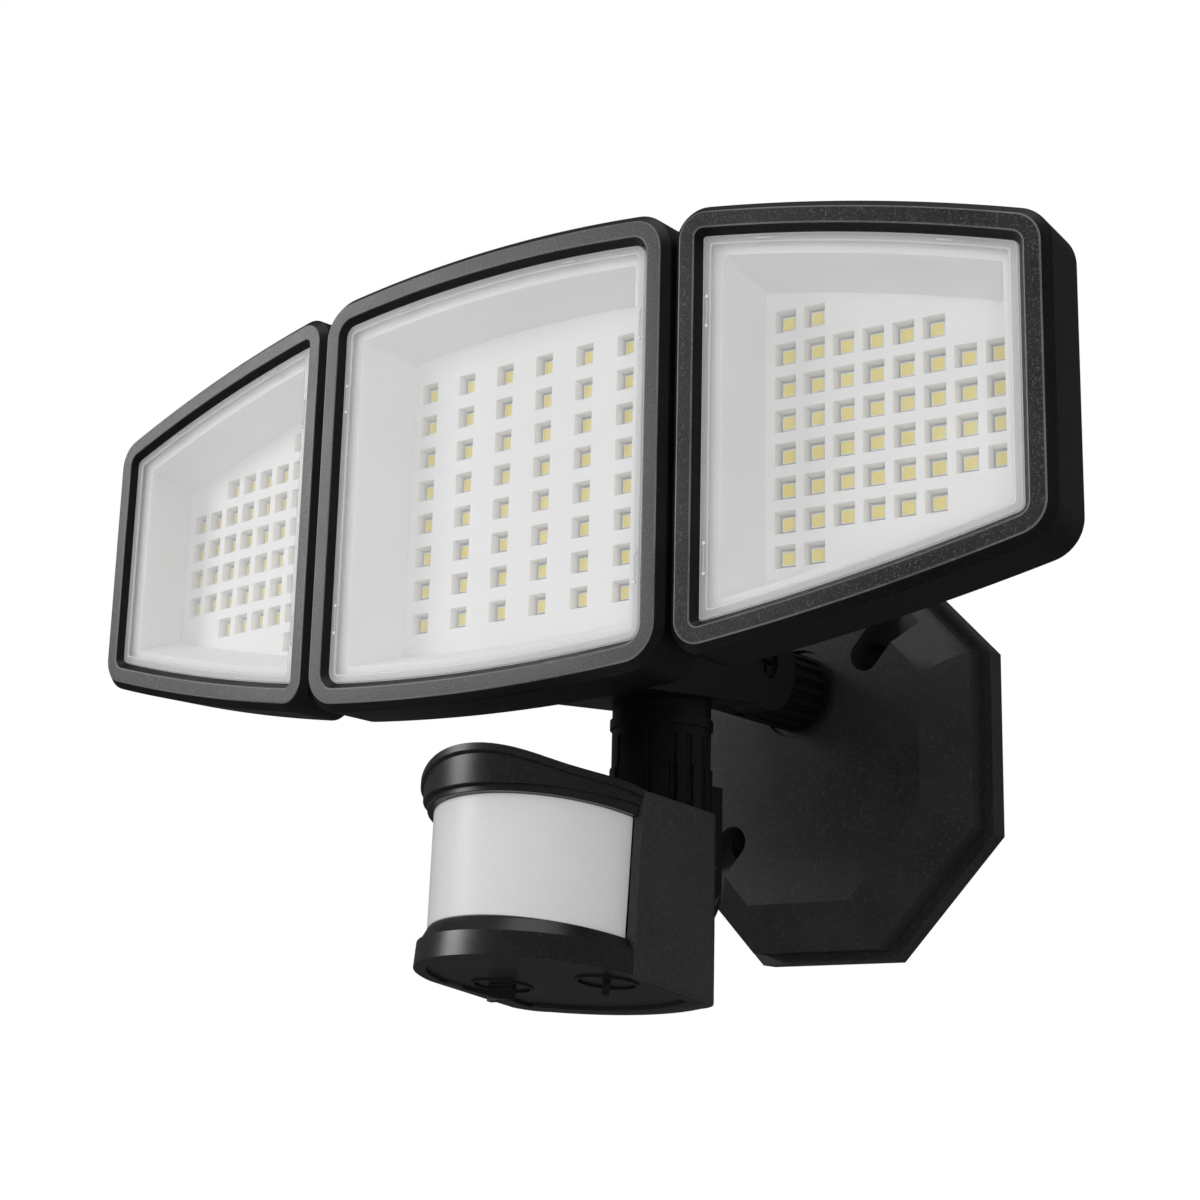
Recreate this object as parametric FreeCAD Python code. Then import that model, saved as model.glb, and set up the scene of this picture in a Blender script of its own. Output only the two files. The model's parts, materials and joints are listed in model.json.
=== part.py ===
import FreeCAD, Part
import math
import os

os.makedirs("parts", exist_ok=True)
V = FreeCAD.Vector

# Motion sensor security light, in millimetres.
# +Z is up, +Y points into the wall and the lamps face -Y.
# The origin is the centre of the wall plate's back, on the wall.

# Fits and clearances
FIT = 0.3
RUNNING = 0.05
FACE_GAP = 0.1

# Cutting shapes: how far they run past a face, and past the whole lamp
PAST = 1.0
BEYOND = 200.0

# Wall plate: an octagon in three levels
PLATE_HALF_W = 55.6
PLATE_HALF_H = 61.5
PLATE_SIDE_CORNER = 26.8
PLATE_TOP_CORNER = 22.6
PLATE_RIM_H = 6.6
PLATE_LEDGE = 2.9
PLATE_STEP_H = 7.2
PLATE_FACET_H = 9.3
PLATE_FACE_HALF_W = 41.1
PLATE_FACE_HALF_H = 45.3
PLATE_FACE_SIDE_CORNER = 18.8
PLATE_FACE_TOP_CORNER = 17.6
PLATE_WALL = 2.5
GASKET_W = 3.0
GASKET_T = 1.6
SCREW_SPACING = 69.85
SCREW_DX = 23.2
SCREW_HOLE_R = 2.4
WELL_R = 4.75
WELL_WALL = 2.0
WELL_FLOOR = 3.0
WELL_SLOT_DEPTH = 8.5
WELL_SLOT_LENGTH = 22.0
KNUCKLE_RING_W = 1.8
KNUCKLE_RING_DEPTH = 1.2

# Base knuckle, turning on a horizontal axis that leaves the wall
KNUCKLE_Z = 16.9
KNUCKLE_R = 11.5
KNUCKLE_LENGTH = 28.4
KNUCKLE_FLUTES = 18
KNUCKLE_FLUTE_R = 1.2
KNUCKLE_FLUTE_END = 2.5
SPIGOT_R = 7.95
SPIGOT_LENGTH = 10.0
WIRE_BORE_R = 4.0
WASHER_R = 11.0
WASHER_T = 1.0
KNUCKLE_NUT_R = 11.5
KNUCKLE_NUT_T = 4.0

# Tilt clevis
TILT_Y = -66.1
TILT_Z = 16.8
EAR_R = 13.8
TONGUE_HALF_W = 8.7
TONGUE_R = 10.5
SLOT_REACH = 11.6
TILT_BOLT_R = 3.0
TILT_HEAD_R = 4.7
TILT_HEAD_T = 3.0
TILT_RECESS_DEPTH = 4.0
TILT_NUT_R = 4.6
TILT_BOLT_SETBACK = 1.0
TILT_CROSS_W = 1.2
TILT_CROSS_DEPTH = 1.2
TILT_CROSS_R = 3.3

# Driver housing
HOUSING_HALF_W = 17.9
HOUSING_WALL = 2.5
HOUSING_BOTTOM_REAR = (-71.4, 4.0)
HOUSING_BOTTOM_SLOPE = 0.098
HOUSING_BACK_Y = -80.0
HOUSING_BACK_Z = 40.0
HOUSING_TOP_Y = -104.0
HOUSING_TOP_Z = 88.0
BOARD_T = 1.6
DRIVER_BOARD_SETBACK = 14.0
DRIVER_BOARD_Z0 = 14.0
DRIVER_BOARD_Z1 = 80.0
DRIVER_COIL = 14.0
DRIVER_COIL_T = 11.0

# Sensor post, hanging from a boss under the housing
POST_Y = -91.5
POST_R = 13.5
BOSS_BOTTOM_Z = -2.9
BOSS_TOP_Z = 8.0
FLANGE_T = 2.6
FLANGE_OVER = 0.6
POST_STEP_Z = -16.5
POST_STEP_OVER = 0.5
POST_END_Z = -28.0
POST_GROOVE_R = 1.1
POST_GROOVE_AZIMUTHS = (21.0, 50.0, 70.0, 90.0, 110.0, 130.0)
POST_GROOVE_TOP_Z = -8.0
SHAFT_R = 6.0
SHAFT_TOP_Z = 12.0
SHAFT_BORE_R = 3.5
POST_WALL = 3.5
RING_R = 9.5
RING_T = 2.5
PAD_HALF_W = 9.0
PAD_BACK_Y = -75.0
PAD_FRONT_Y = -93.0
PAD_TOP_Z = -19.6
SENSOR_TILT_Y = -86.9
SENSOR_TILT_Z = -47.2
SENSOR_TONGUE_R = 11.9

# Heads: sizes counted inwards from the outer outline and back from the front face
FRONT_Y = -171.4
HEAD_Z = 47.9
CHAMFER = 2.05
FACE_W = 4.3
BEVEL_W = 0.8
LIP_T = 2.2
FRAME_WALL = 2.6
FRAME_DEPTH = 17.9
COVER_T = 1.6
TRAY_RIM_T = 1.5
TRAY_WALL = 1.6
TRAY_OPENING = 12.0
TRAY_FLOOR_T = 3.0
LED_DEPTH = 19.5
LED_T = 0.7
LED_W = 3.6
LED_H = 3.4
POCKET_FRONT = 5.5
POCKET_BACK = 4.6
HEAT_PLATE_T = 3.0
FLANGE_DEPTH = 2.5
TUB_INSET = 8.5
TUB_WALL = 2.2
TUB_CHAMFER = 2.0
BACK_T = 2.5
RIB_W = 2.0
RIB_H = 1.6
RIB_PITCH = 9.0
RIB_MARGIN = 15.0
SCREW_INSET = 4.9
SCREW_R = 1.25
SCREW_HEAD_R = 2.2
SCREW_HEAD_T = 1.7
SCREW_LENGTH = 8.5
SCREW_SLOT_W = 0.6
SCREW_BLOCK_W = 8.0
SCREW_BLOCK_REACH = 6.9
LEAST_CORNER_R = 0.8

# Centre head
CENTRE_HALF_W = 57.7
CENTRE_TOP = (0.0, -345.3, 405.3)
CENTRE_BOTTOM = (0.0, 545.5, 603.9)
CENTRE_CORNER_R = 11.0
CENTRE_FLOOR_SETBACK = 19.2
CENTRE_RIB_CLEAR = 22.0
CENTRE_PITCH_U = 13.19
CENTRE_PITCH_Z = 9.1
CENTRE_ROWS = (8, 8, 8, 8, 8, 8)
CENTRE_SCREW_U = 34.0

# Wing heads, swept back
WING_SWEEP = 5.9
WING_LED_OVER = 20.4
WING_LED_SETBACK = 3.3
WING_INNER_U = -21.8
WING_OUTER_U = 72.3
WING_TOP = (-78.5, -430.0, 490.0)
WING_BOTTOM = (-113.9, 637.6, 699.0)
WING_INNER_CORNER_R = 8.0
WING_OUTER_CORNER_R = 9.5
WING_FLOOR_INNER_U = -5.4
WING_FLOOR_OUTER_U = 59.0
WING_PITCH_U = 7.62
WING_PITCH_Z = 8.34
WING_ROWS = (8, 8, 6, 6, 6, 6, 4, 4)
WING_SCREW_U = (4.0, 48.0)
WING_DRAFT = 1.6
SEAM = 0.45
FLOOR_INSET = 17.0

# Wing hinges
PIN_OVER = 0.3
PIN_SETBACK = 4.6
PIN_R = 1.5
LUG_R = 3.8
LUG_ARM_T = 5.2
LUG_INNER_H = 8.0
LUG_OUTER_H = 5.0
LUG_GAP = 0.2
HINGE_SPREAD = 26.0

# Sensor
BASE_R = 32.6
SENSOR_SIDE_SETBACK = 0.3
SENSOR_WALL = 3.0
UNDER_SLOPE = 7.86
UNDER_POINT = (-100.0, -82.1)
SIDE_FRONT_TOP = (-141.9, -31.25)
SIDE_FRONT_BOTTOM = (-144.9, -75.7)
ROOF_REAR = (-112.5, -33.0)
REAR_SIDE_Y = -112.5
REAR_CORNER_SETBACK = 2.4
REAR_CORNER_Y = -108.4
REAR_BACK_SETBACK = 7.8
REAR_BACK_Y = -105.4
REAR_APEX_Y = -99.5
FRONT_CENTRE_Y = -139.1
FRONT_LEAN = 1.5
BASE_BAND_H = 6.1
BASE_LEDGE_H = 3.1
BASE_LEDGE_SETBACK = 0.6
BASE_LEDGE_LEAN = 0.45
LEDGE_MID_Y = -156.0
LEDGE_TOP_SLOPE = 11.6
LEDGE_SPARE = 3.0
BASE_FLOOR = 3.0
LENS_SETBACK = 3.0
LENS_T = 1.4
LENS_TOP = (-166.0, -33.5)
LENS_TOP_SLOPE = 10.2
CAP_OVER = 1.7
CAP_WALL = 3.5
VISOR_OVER = 0.4
VISOR_FORWARD = 1.2
VISOR_BOTTOM = (-167.0, -31.7)
VISOR_SLOPE = 8.0
LIP_OVER = 0.8
LIP_H = 2.0
CAP_PROFILE = ((-180.0, -16.5), (-171.4, -21.2), (-162.8, -26.3), (-151.0, -29.3))
EAR_INNER_X = 9.3
EAR_T = 2.6
SENSOR_EAR_R = 7.5
SENSOR_BOLT_R = 2.5
SENSOR_HEAD_R = 4.2
SENSOR_HEAD_T = 2.4
DETECTOR_R = 4.6
DETECTOR_T = 4.0
DETECTOR_Z = -52.0
DETECTOR_WINDOW_W = 4.0
DETECTOR_WINDOW_H = 3.0
DETECTOR_WINDOW_DEPTH = 0.4
DETECTOR_BOARD_Y = -125.0
DETECTOR_BOARD_SETBACK = 6.3
DETECTOR_BOARD_TOP_Z = -42.0
PANEL_RECESS = 0.8
PANEL_BORDER = 3.2

# Setting knobs under the sensor
KNOB_FROM_SIDE = 15.9
KNOB_Y = -135.2
KNOB_R = 6.8
KNOB_T = 1.4
KNOB_GAP = 0.4
KNOB_RECESS = 1.6
KNOB_RIM_W = 0.8
KNOB_RIM_H = 0.5
KNOB_SHAFT_R = 2.5
KNOB_TAB_W = 8.0
KNOB_TAB_T = 1.8
KNOB_TAB_H = 3.4
KNOB_SEAT_H = 2.0
KNOB_SHAFT_H = 3.0
LEFT_KNOB_TURN = 0.0
RIGHT_KNOB_TURN = -52.0

# Derived levels
CENTRE_FLOOR_HALF_W = CENTRE_HALF_W - CENTRE_FLOOR_SETBACK
WING_LED_X = CENTRE_HALF_W + WING_LED_OVER
PIN_X = CENTRE_HALF_W + PIN_OVER
SENSOR_HALF_W = BASE_R - SENSOR_SIDE_SETBACK
LENS_R = BASE_R - LENS_SETBACK
CAP_R = LENS_R + CAP_OVER
VISOR_R = CAP_R + VISOR_OVER
KNOB_X = BASE_R - KNOB_FROM_SIDE
PLATE_STEP_Y = -(PLATE_RIM_H + PLATE_STEP_H)
PLATE_FACE_Y = PLATE_STEP_Y - PLATE_FACET_H
KNUCKLE_BACK_Y = PLATE_FACE_Y - FACE_GAP
KNUCKLE_END_Y = KNUCKLE_BACK_Y - KNUCKLE_LENGTH
SCREW_DZ = math.sqrt((SCREW_SPACING / 2) ** 2 - SCREW_DX ** 2)
COVER_BACK = LIP_T + COVER_T
TRAY_RIM_BACK = COVER_BACK + TRAY_RIM_T
BOARD_DEPTH = LED_DEPTH + LED_T
FLOOR_DEPTH = BOARD_DEPTH - TRAY_FLOOR_T
HEAT_DEPTH = BOARD_DEPTH + BOARD_T
BACK_DEPTH = HEAT_DEPTH + HEAT_PLATE_T
HEAD_DEPTH = BACK_DEPTH + BACK_T
HEAD_BACK_Y = FRONT_Y + HEAD_DEPTH
SWEEP = math.radians(WING_SWEEP)
WING_ORIGIN_X = WING_LED_X + LED_DEPTH * math.sin(SWEEP)
WING_ORIGIN_Y = FRONT_Y + LED_DEPTH + WING_LED_SETBACK - LED_DEPTH * math.cos(SWEEP)
SEAM_X = CENTRE_HALF_W + SEAM
WING_WALL_END_Y = WING_ORIGIN_Y + WING_INNER_U * math.sin(SWEEP) + FRAME_DEPTH * math.cos(SWEEP)
PIN_Y = WING_WALL_END_Y + PIN_SETBACK
FLANGE_Z = BOSS_BOTTOM_Z - FACE_GAP
UNDER = math.radians(UNDER_SLOPE)
UNDER_NORMAL = V(0, math.sin(UNDER), math.cos(UNDER))


def box(x0, x1, y0, y1, z0, z1):
    """Box between two corners."""
    return Part.makeBox(x1 - x0, y1 - y0, z1 - z0, V(x0, y0, z0))


def cylinder(radius, start, axis, length):
    """Cylinder from a start point along an axis."""
    return Part.makeCylinder(radius, length, V(*start), V(*axis))


def polygon(points):
    """Closed flat outline through points."""
    return Part.makePolygon([V(*p) for p in points] + [V(*points[0])])


def extruded(wire, x, y, z):
    """Solid swept straight from a closed flat outline."""
    return Part.Face(wire).extrude(V(x, y, z))


def trimmed(shape, point, normal):
    """The part of a shape on the far side of a plane from its normal."""
    size = 2 * BEYOND
    block = Part.makeBox(size, size, size, V(-size / 2, -size / 2, 0))
    block.Placement = FreeCAD.Placement(V(*point), FreeCAD.Rotation(V(0, 0, 1), V(*normal)))
    return shape.cut(block)


def hexagon(radius, centre, axis, length):
    """Hexagonal nut blank of a given corner radius."""
    points = [V(radius * math.cos(math.radians(60 * i)), radius * math.sin(math.radians(60 * i)), 0)
              for i in range(7)]
    blank = Part.Face(Part.makePolygon(points)).extrude(V(0, 0, length))
    blank.Placement = FreeCAD.Placement(V(*centre), FreeCAD.Rotation(V(0, 0, 1), V(*axis)))
    return blank


def save(name, shape):
    """Write one sub-part."""
    shape.exportStep("parts/" + name + ".step")


def octagon(half_w, half_h, side_corner, top_corner, inset, y):
    """Octagon of the wall plate at a level, moved inwards by an inset."""
    run = half_w - top_corner
    rise = half_h - side_corner
    shift = inset * math.hypot(run, rise)
    w = half_w - inset
    h = half_h - inset
    reach = run * half_h + rise * top_corner - shift
    side = (reach - rise * w) / run
    top = (reach - run * h) / rise
    corners = [(w, side), (top, h), (-top, h), (-w, side), (-w, -side), (-top, -h), (top, -h), (w, -side)]
    return polygon([(x, y, z) for x, z in corners])


def plate_outer(inset, y):
    """Rim octagon."""
    return octagon(PLATE_HALF_W, PLATE_HALF_H, PLATE_SIDE_CORNER, PLATE_TOP_CORNER, inset, y)


def plate_face(inset, y):
    """Front face octagon."""
    return octagon(PLATE_FACE_HALF_W, PLATE_FACE_HALF_H, PLATE_FACE_SIDE_CORNER, PLATE_FACE_TOP_CORNER,
                   inset, y)


def plate_body(inset, back_y):
    """Three-level octagonal body, shrunk by an inset on every side."""
    rim = extruded(plate_outer(inset, back_y), 0, -(PLATE_RIM_H + back_y - inset), 0)
    step_front = PLATE_STEP_Y + inset
    step = extruded(plate_outer(PLATE_LEDGE + inset, back_y), 0, step_front - back_y, 0)
    facets = Part.makeLoft([plate_outer(PLATE_LEDGE + inset, step_front),
                            plate_face(inset, PLATE_FACE_Y + inset)], True, True)
    return rim.fuse(step).fuse(facets).removeSplitter()


def screw_wells():
    """The two screw positions, on opposite corners."""
    return [(SCREW_DX, SCREW_DZ), (-SCREW_DX, -SCREW_DZ)]


def mounting_plate():
    """Hollow wall plate with two diagonal screw wells and the knuckle's hole."""
    outer = plate_body(0.0, 0.0)
    plate = outer.cut(plate_body(PLATE_WALL, PAST))
    rim = extruded(plate_outer(0, 0), 0, -PLATE_RIM_H + PLATE_WALL, 0)
    rim = rim.cut(extruded(plate_outer(GASKET_W + 2 * PLATE_WALL, PAST), 0, -PLATE_RIM_H, 0))
    plate = plate.fuse(rim.common(outer))
    groove = extruded(plate_outer(PLATE_WALL, 0), 0, -GASKET_T, 0)
    groove = groove.cut(extruded(plate_outer(PLATE_WALL + GASKET_W, 0), 0, -GASKET_T, 0))
    plate = plate.cut(groove)
    for x, z in screw_wells():
        tube = cylinder(WELL_R + WELL_WALL, (x, 0, z), (0, -1, 0), -PLATE_FACE_Y)
        out = V(x, 0, z).normalize()
        side = V(-out.z, 0, out.x)
        start = V(x, PLATE_FACE_Y - PAST, z)
        slot_y = PAST - WELL_SLOT_DEPTH
        guard = [start + side * (WELL_R + WELL_WALL), start - side * (WELL_R + WELL_WALL),
                 start - side * (WELL_R + WELL_WALL) + out * WELL_SLOT_LENGTH,
                 start + side * (WELL_R + WELL_WALL) + out * WELL_SLOT_LENGTH]
        trough = Part.Face(Part.makePolygon(guard + guard[:1])).extrude(V(0, -slot_y + WELL_WALL, 0))
        plate = plate.fuse(tube.fuse(trough).common(outer))
        well = cylinder(WELL_R, (x, -WELL_FLOOR, z), (0, -1, 0), -PLATE_FACE_Y)
        slot = [start + side * WELL_R, start - side * WELL_R,
                start - side * WELL_R + out * WELL_SLOT_LENGTH,
                start + side * WELL_R + out * WELL_SLOT_LENGTH]
        channel = Part.Face(Part.makePolygon(slot + slot[:1])).extrude(V(0, -slot_y, 0))
        hole = cylinder(SCREW_HOLE_R, (x, PAST, z), (0, -1, 0), WELL_FLOOR + 2 * PAST)
        plate = plate.cut(well.fuse(channel)).cut(hole)
    plate = plate.cut(cylinder(SPIGOT_R + RUNNING, (0, 0, KNUCKLE_Z), (0, -1, 0), PAST - PLATE_FACE_Y))
    ring_start = (0, PLATE_FACE_Y + KNUCKLE_RING_DEPTH, KNUCKLE_Z)
    ring = cylinder(KNUCKLE_R + KNUCKLE_RING_W, ring_start, (0, -1, 0), KNUCKLE_RING_DEPTH)
    plate = plate.cut(ring.cut(cylinder(KNUCKLE_R, ring_start, (0, -1, 0), KNUCKLE_RING_DEPTH)))
    return plate.removeSplitter()


def wall_gasket():
    """Foam ring in the rim's back."""
    ring = extruded(plate_outer(PLATE_WALL, 0), 0, -GASKET_T, 0)
    return ring.cut(extruded(plate_outer(PLATE_WALL + GASKET_W, 0), 0, -GASKET_T, 0))


def base_knuckle():
    """Fluted knuckle: spigot through the plate, fluted barrel, flat tongue."""
    barrel = cylinder(KNUCKLE_R, (0, KNUCKLE_BACK_Y, KNUCKLE_Z), (0, -1, 0), KNUCKLE_LENGTH)
    flute_length = KNUCKLE_LENGTH - 2 * KNUCKLE_FLUTE_END
    for i in range(KNUCKLE_FLUTES):
        turn = math.radians(360.0 * i / KNUCKLE_FLUTES)
        x = KNUCKLE_R * math.cos(turn)
        z = KNUCKLE_Z + KNUCKLE_R * math.sin(turn)
        barrel = barrel.cut(cylinder(KNUCKLE_FLUTE_R, (x, KNUCKLE_BACK_Y - KNUCKLE_FLUTE_END, z),
                                     (0, -1, 0), flute_length))
    spigot = cylinder(SPIGOT_R, (0, KNUCKLE_BACK_Y + SPIGOT_LENGTH, KNUCKLE_Z), (0, -1, 0), SPIGOT_LENGTH)
    tongue = box(-TONGUE_HALF_W, TONGUE_HALF_W, TILT_Y, KNUCKLE_END_Y, TILT_Z - TONGUE_R, TILT_Z + TONGUE_R)
    tongue = tongue.common(cylinder(KNUCKLE_R, (0, KNUCKLE_END_Y, KNUCKLE_Z), (0, -1, 0), 2 * EAR_R))
    end = cylinder(TONGUE_R, (-TONGUE_HALF_W, TILT_Y, TILT_Z), (1, 0, 0), 2 * TONGUE_HALF_W)
    knuckle = barrel.fuse(spigot).fuse(tongue).fuse(end)
    wire = cylinder(WIRE_BORE_R, (0, KNUCKLE_BACK_Y + SPIGOT_LENGTH, KNUCKLE_Z), (0, -1, 0),
                    SPIGOT_LENGTH + KNUCKLE_LENGTH - KNUCKLE_FLUTE_END)
    bolt = cylinder(TILT_BOLT_R + RUNNING, (-TONGUE_HALF_W, TILT_Y, TILT_Z), (1, 0, 0), 2 * TONGUE_HALF_W)
    return knuckle.cut(wire).cut(bolt).removeSplitter()


def knuckle_washer():
    """Friction washer inside the plate."""
    y = PLATE_FACE_Y + PLATE_WALL + FACE_GAP + WASHER_T
    washer = cylinder(WASHER_R, (0, y, KNUCKLE_Z), (0, -1, 0), WASHER_T)
    return washer.cut(cylinder(SPIGOT_R + RUNNING, (0, y, KNUCKLE_Z), (0, -1, 0), WASHER_T))


def knuckle_nut():
    """Hexagonal nut that holds the knuckle in the plate."""
    y = PLATE_FACE_Y + PLATE_WALL + FACE_GAP + WASHER_T
    nut = hexagon(KNUCKLE_NUT_R, (0, y, KNUCKLE_Z), (0, 1, 0), KNUCKLE_NUT_T)
    return nut.cut(cylinder(SPIGOT_R + RUNNING, (0, y, KNUCKLE_Z), (0, 1, 0), KNUCKLE_NUT_T))


def housing_bottom(y):
    """Height of the housing's sloping underside."""
    rear_y, rear_z = HOUSING_BOTTOM_REAR
    return rear_z + HOUSING_BOTTOM_SLOPE * (y - rear_y)


def driver_housing():
    """Hollow housing behind the centre head, with the clevis ears and the post's boss."""
    w = HOUSING_HALF_W
    rear_y, rear_z = HOUSING_BOTTOM_REAR
    outline = [(-w, HEAD_BACK_Y, housing_bottom(HEAD_BACK_Y)), (-w, rear_y, rear_z),
               (-w, TILT_Y, TILT_Z + EAR_R), (-w, HOUSING_BACK_Y, HOUSING_BACK_Z),
               (-w, HOUSING_TOP_Y, HOUSING_TOP_Z), (-w, HEAD_BACK_Y, HOUSING_TOP_Z)]
    body = extruded(polygon(outline), 2 * w, 0, 0)
    t = HOUSING_WALL
    back = TILT_Y - SLOT_REACH - t
    inner = [(-w + t, HEAD_BACK_Y - PAST, housing_bottom(HEAD_BACK_Y) + t),
             (-w + t, back, housing_bottom(back) + t), (-w + t, back, HOUSING_BACK_Z - 2 * t),
             (-w + t, HOUSING_TOP_Y - t, HOUSING_TOP_Z - t), (-w + t, HEAD_BACK_Y - PAST, HOUSING_TOP_Z - t)]
    body = body.cut(extruded(polygon(inner), 2 * (w - t), 0, 0))
    ears = cylinder(EAR_R, (-w, TILT_Y, TILT_Z), (1, 0, 0), 2 * w)
    boss = cylinder(POST_R, (0, POST_Y, BOSS_BOTTOM_Z), (0, 0, 1), BOSS_TOP_Z - BOSS_BOTTOM_Z)
    body = body.fuse(ears).fuse(boss)
    slot = 2 * EAR_R + SLOT_REACH
    half = TONGUE_HALF_W + FIT
    body = body.cut(box(-half, half, TILT_Y - SLOT_REACH, TILT_Y + slot, TILT_Z - slot, TILT_Z + slot))
    along_x = (1, 0, 0)
    recess = TILT_RECESS_DEPTH
    bolt = cylinder(TILT_BOLT_R + RUNNING, (-w, TILT_Y, TILT_Z), along_x, 2 * w)
    head = cylinder(TILT_HEAD_R + FIT, (w - recess, TILT_Y, TILT_Z), along_x, recess)
    nut = hexagon(TILT_NUT_R + FIT, (-w, TILT_Y, TILT_Z), along_x, recess)
    shaft = cylinder(SHAFT_R + RUNNING, (0, POST_Y, BOSS_BOTTOM_Z), (0, 0, 1), BOSS_TOP_Z - BOSS_BOTTOM_Z)
    return body.cut(bolt).cut(head).cut(nut).cut(shaft).removeSplitter()


def tilt_bolt():
    """Bolt through the clevis, with its head in the right ear."""
    seat = HOUSING_HALF_W - TILT_RECESS_DEPTH
    length = seat + HOUSING_HALF_W - TILT_BOLT_SETBACK
    shank = cylinder(TILT_BOLT_R, (seat - length, TILT_Y, TILT_Z), (1, 0, 0), length)
    head = cylinder(TILT_HEAD_R, (seat, TILT_Y, TILT_Z), (1, 0, 0), TILT_HEAD_T)
    face = seat + TILT_HEAD_T
    half = TILT_CROSS_W / 2
    floor = face - TILT_CROSS_DEPTH
    slot = box(floor, face, TILT_Y - TILT_CROSS_R, TILT_Y + TILT_CROSS_R, TILT_Z - half, TILT_Z + half)
    cross = box(floor, face, TILT_Y - half, TILT_Y + half, TILT_Z - TILT_CROSS_R, TILT_Z + TILT_CROSS_R)
    return shank.fuse(head).cut(slot.fuse(cross)).removeSplitter()


def tilt_nut():
    """Nut in the left ear's hexagonal pocket."""
    x = -HOUSING_HALF_W + TILT_RECESS_DEPTH - TILT_HEAD_T
    nut = hexagon(TILT_NUT_R, (x, TILT_Y, TILT_Z), (1, 0, 0), TILT_HEAD_T)
    return nut.cut(cylinder(TILT_BOLT_R + RUNNING, (x, TILT_Y, TILT_Z), (1, 0, 0), TILT_HEAD_T))


def driver_board():
    """Circuit board with its coil, across the housing."""
    half = HOUSING_HALF_W - HOUSING_WALL - RUNNING
    y = HEAD_BACK_Y + DRIVER_BOARD_SETBACK
    board = box(-half, half, y, y + BOARD_T, DRIVER_BOARD_Z0, DRIVER_BOARD_Z1)
    middle = (DRIVER_BOARD_Z0 + DRIVER_BOARD_Z1) / 2
    coil = box(-DRIVER_COIL / 2, DRIVER_COIL / 2, y - DRIVER_COIL_T, y, middle, middle + DRIVER_COIL)
    return board.fuse(coil).removeSplitter()


def sensor_post():
    """Post under the boss: shaft, flange, fluted tube and the flat pad that carries the sensor."""
    foot = (0, POST_Y, FLANGE_Z - FLANGE_T)
    shaft = cylinder(SHAFT_R, foot, (0, 0, 1), SHAFT_TOP_Z - FLANGE_Z + FLANGE_T)
    flange = cylinder(POST_R + FLANGE_OVER, foot, (0, 0, 1), FLANGE_T)
    tube = cylinder(POST_R, (0, POST_Y, POST_END_Z), (0, 0, 1), FLANGE_Z - FLANGE_T - POST_END_Z)
    lower = cylinder(POST_R + POST_STEP_OVER, (0, POST_Y, POST_END_Z), (0, 0, 1), POST_STEP_Z - POST_END_Z)
    tube = tube.fuse(lower)
    length = POST_GROOVE_TOP_Z - POST_END_Z
    for azimuth in POST_GROOVE_AZIMUTHS:
        for side in (-1, 1):
            turn = math.radians(azimuth)
            x = side * (POST_R + POST_STEP_OVER) * math.sin(turn)
            y = POST_Y - (POST_R + POST_STEP_OVER) * math.cos(turn)
            tube = tube.cut(cylinder(POST_GROOVE_R, (x, y, POST_END_Z), (0, 0, 1), length))
    pad = box(-PAD_HALF_W, PAD_HALF_W, PAD_FRONT_Y, PAD_BACK_Y, SENSOR_TILT_Z, PAD_TOP_Z)
    eye = cylinder(SENSOR_TONGUE_R, (-PAD_HALF_W, SENSOR_TILT_Y, SENSOR_TILT_Z), (1, 0, 0), 2 * PAD_HALF_W)
    post = shaft.fuse(flange).fuse(tube).fuse(pad).fuse(eye)
    wire = cylinder(SHAFT_BORE_R, (0, POST_Y, POST_END_Z + POST_WALL), (0, 0, 1), SHAFT_TOP_Z - POST_END_Z)
    hole = cylinder(SENSOR_BOLT_R + RUNNING, (-PAD_HALF_W, SENSOR_TILT_Y, SENSOR_TILT_Z), (1, 0, 0),
                    2 * PAD_HALF_W)
    return post.cut(wire).cut(hole).removeSplitter()


def post_ring():
    """Retaining ring on the shaft, above the boss."""
    z = BOSS_TOP_Z + FACE_GAP
    ring = cylinder(RING_R, (0, POST_Y, z), (0, 0, 1), RING_T)
    return ring.cut(cylinder(SHAFT_R + RUNNING, (0, POST_Y, z), (0, 0, 1), RING_T))


CENTRE = {"inner": -CENTRE_HALF_W, "outer": CENTRE_HALF_W, "top": CENTRE_TOP, "bottom": CENTRE_BOTTOM,
          "inner_r": CENTRE_CORNER_R, "outer_r": CENTRE_CORNER_R, "draft": 0.0,
          "floor": (-CENTRE_FLOOR_HALF_W, CENTRE_FLOOR_HALF_W), "rows": CENTRE_ROWS,
          "pitch": (CENTRE_PITCH_U, CENTRE_PITCH_Z), "first": -CENTRE_PITCH_U * (len(CENTRE_ROWS) - 1) / 2,
          "screws": (-CENTRE_SCREW_U, CENTRE_SCREW_U), "rib_clear": CENTRE_RIB_CLEAR}
WING = {"inner": WING_INNER_U, "outer": WING_OUTER_U, "top": WING_TOP, "bottom": WING_BOTTOM,
        "inner_r": WING_INNER_CORNER_R, "outer_r": WING_OUTER_CORNER_R, "draft": WING_DRAFT,
        "floor": (WING_FLOOR_INNER_U, WING_FLOOR_OUTER_U), "rows": WING_ROWS,
        "pitch": (WING_PITCH_U, WING_PITCH_Z), "first": 0.0, "screws": WING_SCREW_U, "rib_clear": None}


def arc_height(circle, u, inset, sign):
    """Height of a head's top (sign 1) or bottom (sign -1) arc, moved inwards by an inset."""
    cu, cz, radius = circle
    return cz + sign * math.sqrt((radius - inset) ** 2 - (u - cu) ** 2)


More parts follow.
